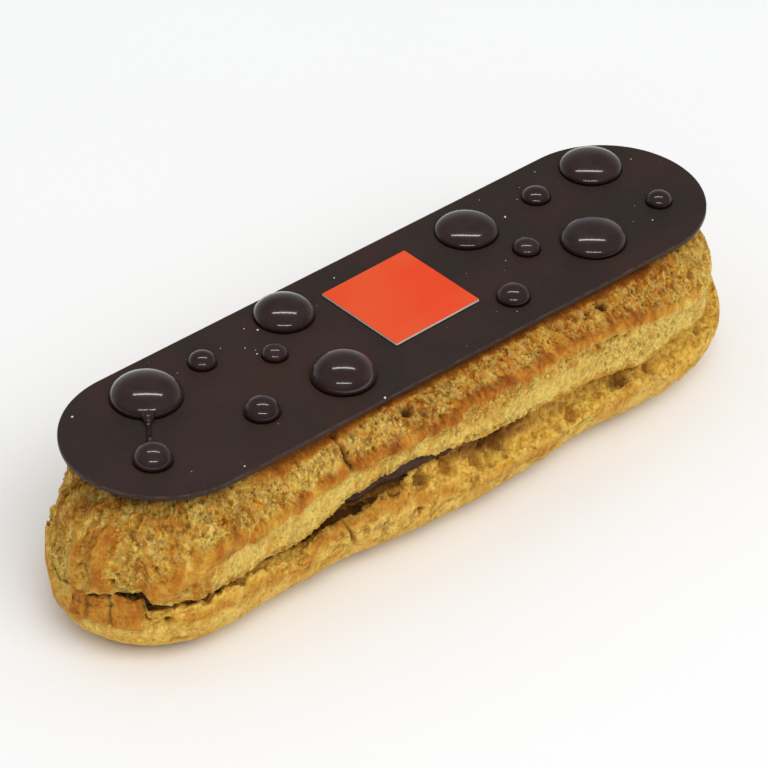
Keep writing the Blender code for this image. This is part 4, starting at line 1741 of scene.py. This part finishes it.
@dataclass
class ChocolatePlate:
    """Thin stadium of dark chocolate with softly rounded edges."""

    length: float = 140.0
    width: float = 36.4
    thickness: float = 1.0
    top: float = 33.0
    edge: float = 0.25
    weld: float = 0.02
    corner_steps: int = 48
    roundness: float = 0.49999

    def build(self, finish: PlateFinish, centre: Vector) -> Piece:
        """Make the plate round a centre, in metres, and dress it."""
        setup = Setup("plate_tree")
        graph = setup.graph
        length = setup.size("Length", self.length * MM)
        width = setup.size("Width", self.width * MM)
        thickness = setup.size("Thickness", self.thickness * MM)
        height = setup.size("Underside", (self.top - self.thickness) * MM)
        outline = graph.node("GeometryNodeCurvePrimitiveQuadrilateral", None, length, width)
        rounded = graph.node("GeometryNodeFilletCurve", {"mode": "POLY"}, Curve=outline,
                             Count=self.corner_steps, Radius=width * self.roundness)
        sheet = graph.node("GeometryNodeFillCurve", {"mode": "NGONS"}, rounded)
        lifted = graph.node("GeometryNodeExtrudeMesh", {"mode": "FACES"}, Mesh=sheet,
                            Offset_Scale=thickness)
        turned = graph.node("GeometryNodeFlipFaces", None, sheet)
        joined = graph.tree.nodes.new("GeometryNodeJoinGeometry")
        for part in (turned, lifted):
            graph.tree.links.new(part.socket, joined.inputs[0])
        whole = graph.node("GeometryNodeMergeByDistance", None, Wire(graph, joined.outputs[0]),
                           Distance=self.weld * MM)
        offset = graph.joined(centre.x, centre.y, height)
        setup.finish(graph.node("GeometryNodeTransform", None, whole, Translation=offset), finish)
        plate = setup.applied("plate_of_chocolate", bpy.data.meshes.new("plate_seed"))
        rounded_edges(plate, "soft_edge", self.edge, 3)
        plate.data.shade_smooth()
        plate.data.set_sharp_from_angle(angle=SHARP_FROM)
        return plate


@dataclass(frozen=True)
class Drop:
    """One drop on the plate: its place, its radius and its height over its radius."""

    x: float
    y: float
    radius: float
    slender: float


@dataclass
class Drops:
    """All the drops of glaze on the plate, as one mesh of closed domes."""

    places: tuple[Drop, ...] = (
        Drop(56.8, 9.7, 5.92, 0.42), Drop(41.6, -7.3, 6.12, 0.50),
        Drop(26.0, 9.6, 5.92, 0.40), Drop(-15.3, 11.7, 5.58, 0.55),
        Drop(-18.9, -8.6, 5.86, 0.70), Drop(-48.4, 9.1, 6.53, 0.54),
        Drop(42.8, 9.3, 2.80, 0.65), Drop(58.9, -6.3, 2.52, 0.80),
        Drop(30.6, -1.5, 2.66, 0.70), Drop(19.0, -10.7, 3.15, 0.75),
        Drop(-35.0, 10.3, 2.66, 0.80), Drop(-24.0, 3.8, 2.44, 0.80),
        Drop(-36.0, -7.2, 3.32, 0.85), Drop(-58.4, -5.3, 3.56, 0.85),
    )
    power: float = 2.15
    segments: int = 64
    levels: int = 40
    weld: float = 1e-5

    def carrier(self, centre: Vector, top: float) -> bpy.types.Mesh:
        """One point for each drop, holding its radius and its height."""
        spots = [(centre.x + d.x * MM, centre.y + d.y * MM, top * MM) for d in self.places]
        return seeds("drop_seeds", spots, reach=[d.radius * MM for d in self.places],
                     rise=[d.radius * d.slender * MM for d in self.places])

    def build(self, finish: DropFinish, centre: Vector, top: float) -> Piece:
        """Make every drop and dress them."""
        setup = Setup("drop_tree")
        graph = setup.graph
        power = setup.size("Squareness", 2.0 / self.power)
        ball = graph.node("GeometryNodeMeshUVSphere", None, self.segments, self.levels, 1.0)
        place = graph.node("GeometryNodeInputPosition")
        x, y, z = (graph.part(place, axis) for axis in "XYZ")
        out = (x * x + y * y).root().most(self.weld)
        grown = out ** power / out
        dome = graph.joined(x * grown, y * grown, z.most(0.0) ** power)
        shaped = graph.node("GeometryNodeSetPosition", None, ball, Position=dome)
        welded = graph.node("GeometryNodeMergeByDistance", None, shaped, Distance=self.weld)
        radius = setup.stored("reach")
        scale = graph.joined(radius, radius, setup.stored("rise"))
        points = graph.node("GeometryNodeMeshToPoints", None, setup.carried)
        placed = setup.placed(points, welded, Scale=scale)
        setup.finish(graph.node("GeometryNodeSetShadeSmooth", None, placed), finish)
        return setup.applied("glaze_drops", self.carrier(centre, top))


@dataclass
class Thread:
    """A thread of glaze that ran from the big left drop to the small one before it."""

    path: tuple[Point, ...] = (
        (-50.0, 4.9, 34.3), (-50.6, 4.1, 33.7), (-51.2, 3.3, 33.2), (-51.8, 2.5, 33.1),
        (-52.6, 1.4, 33.1), (-53.4, 0.3, 33.15), (-54.1, -0.7, 33.7), (-54.8, -1.7, 34.9),
        (-55.6, -2.9, 35.6), (-56.4, -4.2, 35.6),
    )
    widths: tuple[float, ...] = (1.2, 1.1, 0.62, 0.46, 0.44, 0.44, 0.44, 0.42, 0.34, 0.22)
    sides: int = 16
    steps: int = 60
    smoothings: int = 6

    def build(self, finish: DropFinish) -> Piece:
        """Sweep the thread along its path and dress it."""
        knots = np.array(self.path)
        run = np.concatenate([[0.0], np.cumsum(np.linalg.norm(np.diff(knots, axis=0), axis=1))])
        wanted = np.linspace(0.0, run[-1], self.steps)
        line = np.stack([np.interp(wanted, run, knots[:, k]) for k in range(3)], axis=1)
        width = np.interp(wanted, run, np.array(self.widths))
        for _ in range(self.smoothings):
            line = softened(line, ((1, 1), (0, 0)))
        mesh = bmesh.new()
        ahead = np.gradient(line, axis=0)
        rows: list[list[bmesh.types.BMVert]] = []
        for here, along, wide in zip(line, ahead, width):
            forward = Vector(along).normalized()
            side = forward.cross(Vector((0.0, 0.0, 1.0))).normalized()
            up = side.cross(forward)
            row = []
            for k in range(self.sides):
                turn = 2.0 * math.pi * k / self.sides
                point = Vector(here) + side * (wide * math.cos(turn)) + up * (wide * math.sin(turn))
                row.append(mesh.verts.new(point * MM))
            rows.append(row)
        for low, high in zip(rows, rows[1:]):
            for k in range(self.sides):
                after = (k + 1) % self.sides
                mesh.faces.new((low[k], low[after], high[after], high[k]))
        mesh.faces.new(rows[0])
        mesh.faces.new(list(reversed(rows[-1])))
        bmesh.ops.recalc_face_normals(mesh, faces=mesh.faces[:])
        data = plain("glaze_thread", mesh)
        data.shade_smooth()
        return linked("glaze_thread", data, finish)


@dataclass
class Tag:
    """Square card on the plate, left bare."""

    side: float = 19.7
    thickness: float = 0.5
    place: Pair = (3.4, 1.9)
    turn: float = math.radians(1.1)
    squares: int = 12
    worn_edge: float = 0.06

    def build(self, centre: Vector, base: float) -> Piece:
        """Make the card on a base height, in millimetres, and dress it."""
        mesh = bmesh.new()
        bmesh.ops.create_grid(mesh, x_segments=self.squares, y_segments=self.squares,
                              size=0.5 * self.side * MM)
        extruded = bmesh.ops.extrude_face_region(mesh, geom=mesh.faces[:])
        raised = [item for item in extruded["geom"] if isinstance(item, bmesh.types.BMVert)]
        bmesh.ops.translate(mesh, verts=raised, vec=(0.0, 0.0, self.thickness * MM))
        bmesh.ops.recalc_face_normals(mesh, faces=mesh.faces[:])
        turn = Matrix.Rotation(self.turn, 4, "Z")
        spot = Vector((centre.x + self.place[0] * MM, centre.y + self.place[1] * MM, base * MM))
        bmesh.ops.transform(mesh, matrix=Matrix.Translation(spot) @ turn, verts=mesh.verts[:])
        data = plain("bare_tag", mesh)
        data.shade_smooth()
        data.set_sharp_from_angle(angle=SHARP_FROM)
        card = linked("bare_tag", data, CardFinish(base + self.thickness))
        rounded_edges(card, "worn_edge", self.worn_edge, 2)
        return card


@dataclass
class Flakes:
    """Small torn flakes or crumbs that stand on a dough surface, as real closed bits."""

    name: str
    per_square_mm: float
    wide: float
    thick: float
    tilt: float
    seed: int
    smallest: Point = (0.45, 0.35, 0.5)
    largest: Point = (1.3, 0.9, 1.2)

    def build(self, finish: Finish, ground: bpy.types.Mesh) -> Piece:
        """Strew the bits on a mesh whose "strew" value says how densely, from 0 to 1."""
        setup = Setup(f"{self.name}_tree")
        graph = setup.graph
        density = setup.size("Density", self.per_square_mm / MM ** 2)
        wide = setup.size("Width", self.wide * MM)
        thick = setup.size("Thickness", self.thick * MM)
        tilt = setup.size("Tilt", self.tilt)
        points = graph.node("GeometryNodeDistributePointsOnFaces", None, Mesh=setup.carried,
                            Density=setup.stored("strew") * density, Seed=self.seed)
        flat_on = Wire(graph, points.socket.node.outputs["Rotation"])
        spin = setup.chance((-1.0, -1.0, -1.0), (1.0, 1.0, 1.0), self.seed + 1)
        turned = graph.scaled(spin, graph.joined(tilt, tilt, math.pi))
        euler = graph.node("FunctionNodeEulerToRotation", None, turned)
        laid = graph.node("FunctionNodeRotateRotation", {"rotation_space": "LOCAL"}, flat_on,
                          euler)
        size = setup.chance(self.smallest, self.largest, self.seed + 2)
        scale = graph.scaled(size, graph.joined(wide, wide, thick))
        bit = graph.node("GeometryNodeMeshIcoSphere", None, 1.0, 1)
        setup.finish(setup.placed(points, bit, Rotation=laid, Scale=scale), finish)
        return setup.applied(self.name, ground.copy())


@dataclass
class Specks:
    """Grains of pale dust on the plate, some at set places and some strewn."""

    set_down: tuple[Point, ...] = (
        (-19.9, 11.8, 0.30), (-24.9, 9.2, 0.20), (-24.4, 6.5, 0.24), (-15.7, -17.4, 0.36),
        (36.0, 8.8, 0.34), (66.1, 7.3, 0.20), (55.7, -9.3, 0.20), (0.3, 14.8, 0.22),
        (-21.5, 13.6, 0.20), (-18.2, 12.2, 0.18), (-59.8, 13.4, 0.34), (-46.0, -16.2, 0.24),
    )
    set_down_share: float = 0.75
    strewn: int = 26
    field: Pair = (60.0, 16.5)
    strewn_size: Pair = (0.05, 0.12)
    seed: int = Draw.DUST

    def build(self, finish: DustFinish, shift: Pair, top: float) -> Piece:
        """Lay the grains on the plate and dress them."""
        rng = np.random.default_rng(self.seed)
        spots = [(x, y, self.set_down_share * size) for x, y, size in self.set_down]
        for _ in range(self.strewn):
            x, y = (rng.uniform(-reach, reach) for reach in self.field)
            spots.append((x - shift[0], y - shift[1], rng.uniform(*self.strewn_size)))
        mesh = seeds("speck_seeds", [(x * MM, y * MM, top * MM) for x, y, _ in spots],
                     reach=[size * MM for *_, size in spots])
        setup = Setup("speck_tree")
        graph = setup.graph
        flat = setup.size("Flatness", 0.7)
        reach = setup.stored("reach")
        scale = graph.joined(reach, reach * 0.8, reach * flat)
        turn = setup.chance((0.0, 0.0, 0.0), (0.4, 0.4, 6.28), self.seed)
        grain = graph.node("GeometryNodeMeshIcoSphere", None, 1.0, 2)
        points = graph.node("GeometryNodeMeshToPoints", None, setup.carried)
        setup.finish(setup.placed(points, grain, Rotation=turn, Scale=scale), finish)
        return setup.applied("dust_specks", mesh)


# ---------------------------------------------------------------- studio


@dataclass
class Studio:
    """Pale paper floor, soft light and the camera."""

    lens: float = 206.98
    sensor: float = 36.0
    azimuth: float = math.radians(-41.212)
    elevation: float = math.radians(37.651)
    roll: float = math.radians(0.3517)
    distance: float = 762.83
    aim: Pair = (-14.953, -14.760)
    clip: Pair = (0.05, 20.0)
    light_along: Point = (0.752, -0.659, 0.0)
    white: Colour = (0.98, 0.992, 1.0)
    paper_half: float = 3.0
    paper_squares: int = 8

    def camera(self, plate_low: Vector, plate_high: Vector) -> None:
        """Place the camera from the plate's own corners."""
        a, e = self.azimuth, self.elevation
        back = Vector((math.sin(a) * math.cos(e), -math.cos(a) * math.cos(e), math.sin(e)))
        right = Vector((0.0, 0.0, 1.0)).cross(back).normalized()
        up = back.cross(right)
        c, s = math.cos(self.roll), math.sin(self.roll)
        right, up = right * c + up * s, up * c - right * s
        target = 0.5 * (plate_low + plate_high)
        target.z = plate_high.z
        target += Vector((self.aim[0] * MM, self.aim[1] * MM, 0.0))
        place = target + back * self.distance * MM
        turn = Matrix((right, up, back)).transposed().to_4x4()
        data = bpy.data.cameras.new("studio_camera")
        data.lens = self.lens
        data.sensor_width = self.sensor
        data.clip_start, data.clip_end = self.clip
        camera = bpy.data.objects.new("studio_camera", data)
        camera.matrix_world = Matrix.Translation(place) @ turn
        bpy.context.scene.collection.objects.link(camera)
        bpy.context.scene.camera = camera

    def floor(self) -> Piece:
        """Lay the paper."""
        mesh = bmesh.new()
        bmesh.ops.create_grid(mesh, x_segments=self.paper_squares,
                              y_segments=self.paper_squares, size=self.paper_half)
        return linked("paper_floor", plain("paper_floor", mesh), FloorFinish())

    def light(self, name: str, place: Point, size: Pair, watts: float, mirrored: bool) -> None:
        """Hang one soft light that points at the object.

        Args:
            name: Its name.
            place: Where it hangs, in metres.
            size: Its width and height, in metres.
            watts: Its power.
            mirrored: Whether it is for the reflections on glossy pieces, or lights matt ones.
        """
        data = bpy.data.lights.new(name, "AREA")
        data.shape = "RECTANGLE"
        data.size, data.size_y = size
        data.energy = watts
        lamp = bpy.data.objects.new(name, data)
        back = Vector(place).normalized()
        along = Vector(self.light_along)
        along = (along - back * along.dot(back)).normalized()
        turn = Matrix((along, back.cross(along), back)).transposed().to_4x4()
        lamp.matrix_world = Matrix.Translation(Vector(place)) @ turn
        lamp.visible_glossy = mirrored
        lamp.visible_diffuse = not mirrored
        bpy.context.scene.collection.objects.link(lamp)

    def world(self, even: float, low: float, high: float, near: float) -> None:
        """White surroundings.

        Args:
            even: Strength that lights the object.
            low: Strength that glossy pieces mirror near the horizon beyond the object.
            high: Strength that they mirror overhead.
            near: Strength that they mirror near the horizon behind the camera.
        """
        world = bpy.data.worlds.new("studio_world")
        world.use_nodes = True
        sky = world.node_tree.nodes["Background"]
        graph = Graph(world.node_tree)
        where = graph.node("ShaderNodeTexCoord", out="Generated")
        height = graph.part(where, "Z")
        glossy = graph.node("ShaderNodeLightPath", out="Is Glossy Ray")
        beyond = (-math.sin(self.azimuth), math.cos(self.azimuth), 0.0)
        facing = graph.node("ShaderNodeVectorMath", {"operation": "DOT_PRODUCT"}, where, beyond,
                            out="Value")
        horizon = facing.eased(-0.2, 0.45, near, low)
        mirrored = horizon + height.eased(0.05, 0.60) * (high - horizon)
        soft = height.eased(0.0, 1.0, 0.55, 1.20) * even
        graph.feed(sky.inputs["Strength"], glossy * (mirrored - soft) + soft)
        graph.feed(sky.inputs["Color"], self.white)
        bpy.context.scene.world = world

    def build(self) -> None:
        """Set the whole studio up."""
        bpy.context.scene.view_settings.view_transform = "Standard"
        self.camera(*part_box("chocolate_plate"))
        self.floor()
        self.world(0.665, 0.45, 0.12, 0.05)
        self.light("overhead_strip", (0.24, 0.28, 1.04), (0.85, 0.07), 2.4, True)
        self.light("front_strip", (-0.46, -0.57, 0.80), (0.85, 0.04), 2.5, True)
        self.light("front_softbox", (-0.36, -1.80, 2.37), (2.6, 2.0), 50.0, False)


class Body(Enum):
    """The frame's bodies."""

    ROOT = "root"


def settle(piece: Piece, slot: str, *nodes: str) -> None:
    """Tie a finished piece to the frame.

    Args:
        piece: The piece.
        slot: Not used; the record's material slot meant for its finish.
        nodes: The CAD nodes that it stands for.
    """
    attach(piece, Body.ROOT.value)
    if nodes:
        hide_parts(*nodes)
    faces = len(piece.data.polygons)
    LOG.info("%s: %d faces, stands for %s", piece.name, faces, ", ".join(nodes) or "nothing")


def main() -> None:
    """Build every piece in order."""
    logging.basicConfig(level=logging.INFO, format="%(name)s %(message)s", force=True)
    low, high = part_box("chocolate_plate")
    centre = 0.5 * (low + high)
    outline = Outline(shift=(-centre.x / MM, -centre.y / MM))
    crust = DoughFinish("baked_crust", 1.0)
    crumb = DoughFinish("baked_crumb", 0.45)
    plate = ChocolatePlate()
    glaze = DropFinish(plate.top)
    upper = UpperHalf(outline).build(crust)
    settle(upper, "choux_crust", "choux_top")
    lower = LowerHalf(outline).build(crumb)
    settle(lower, "choux_crumb", "choux_base")
    flakes = Flakes("crust_flakes", 1.5, 0.36, 0.08, 0.40, Draw.FLAKES)
    settle(flakes.build(crust, upper.data), "choux_crust")
    crumbs = Flakes("torn_crumbs", 1.4, 0.26, 0.18, 1.2, Draw.CRUMBS)
    settle(crumbs.build(crumb, lower.data), "choux_crumb")
    settle(Cream(outline).build(CreamFinish()), "chocolate_cream", "filling")
    settle(plate.build(PlateFinish(plate.top), centre), "dark_chocolate", "chocolate_plate")
    drops = Drops()
    names = [f"drop_{number:02d}" for number in range(1, len(drops.places) + 1)]
    settle(drops.build(glaze, centre, plate.top), "glossy_chocolate", *names)
    settle(Thread().build(glaze), "glossy_chocolate")
    settle(Tag().build(centre, plate.top + TAG_GAP), "orange_card", "tag")
    settle(Specks().build(DustFinish(), outline.shift, plate.top), "choux_crumb")
    Studio().build()


if __name__ == "__main__":
    main()
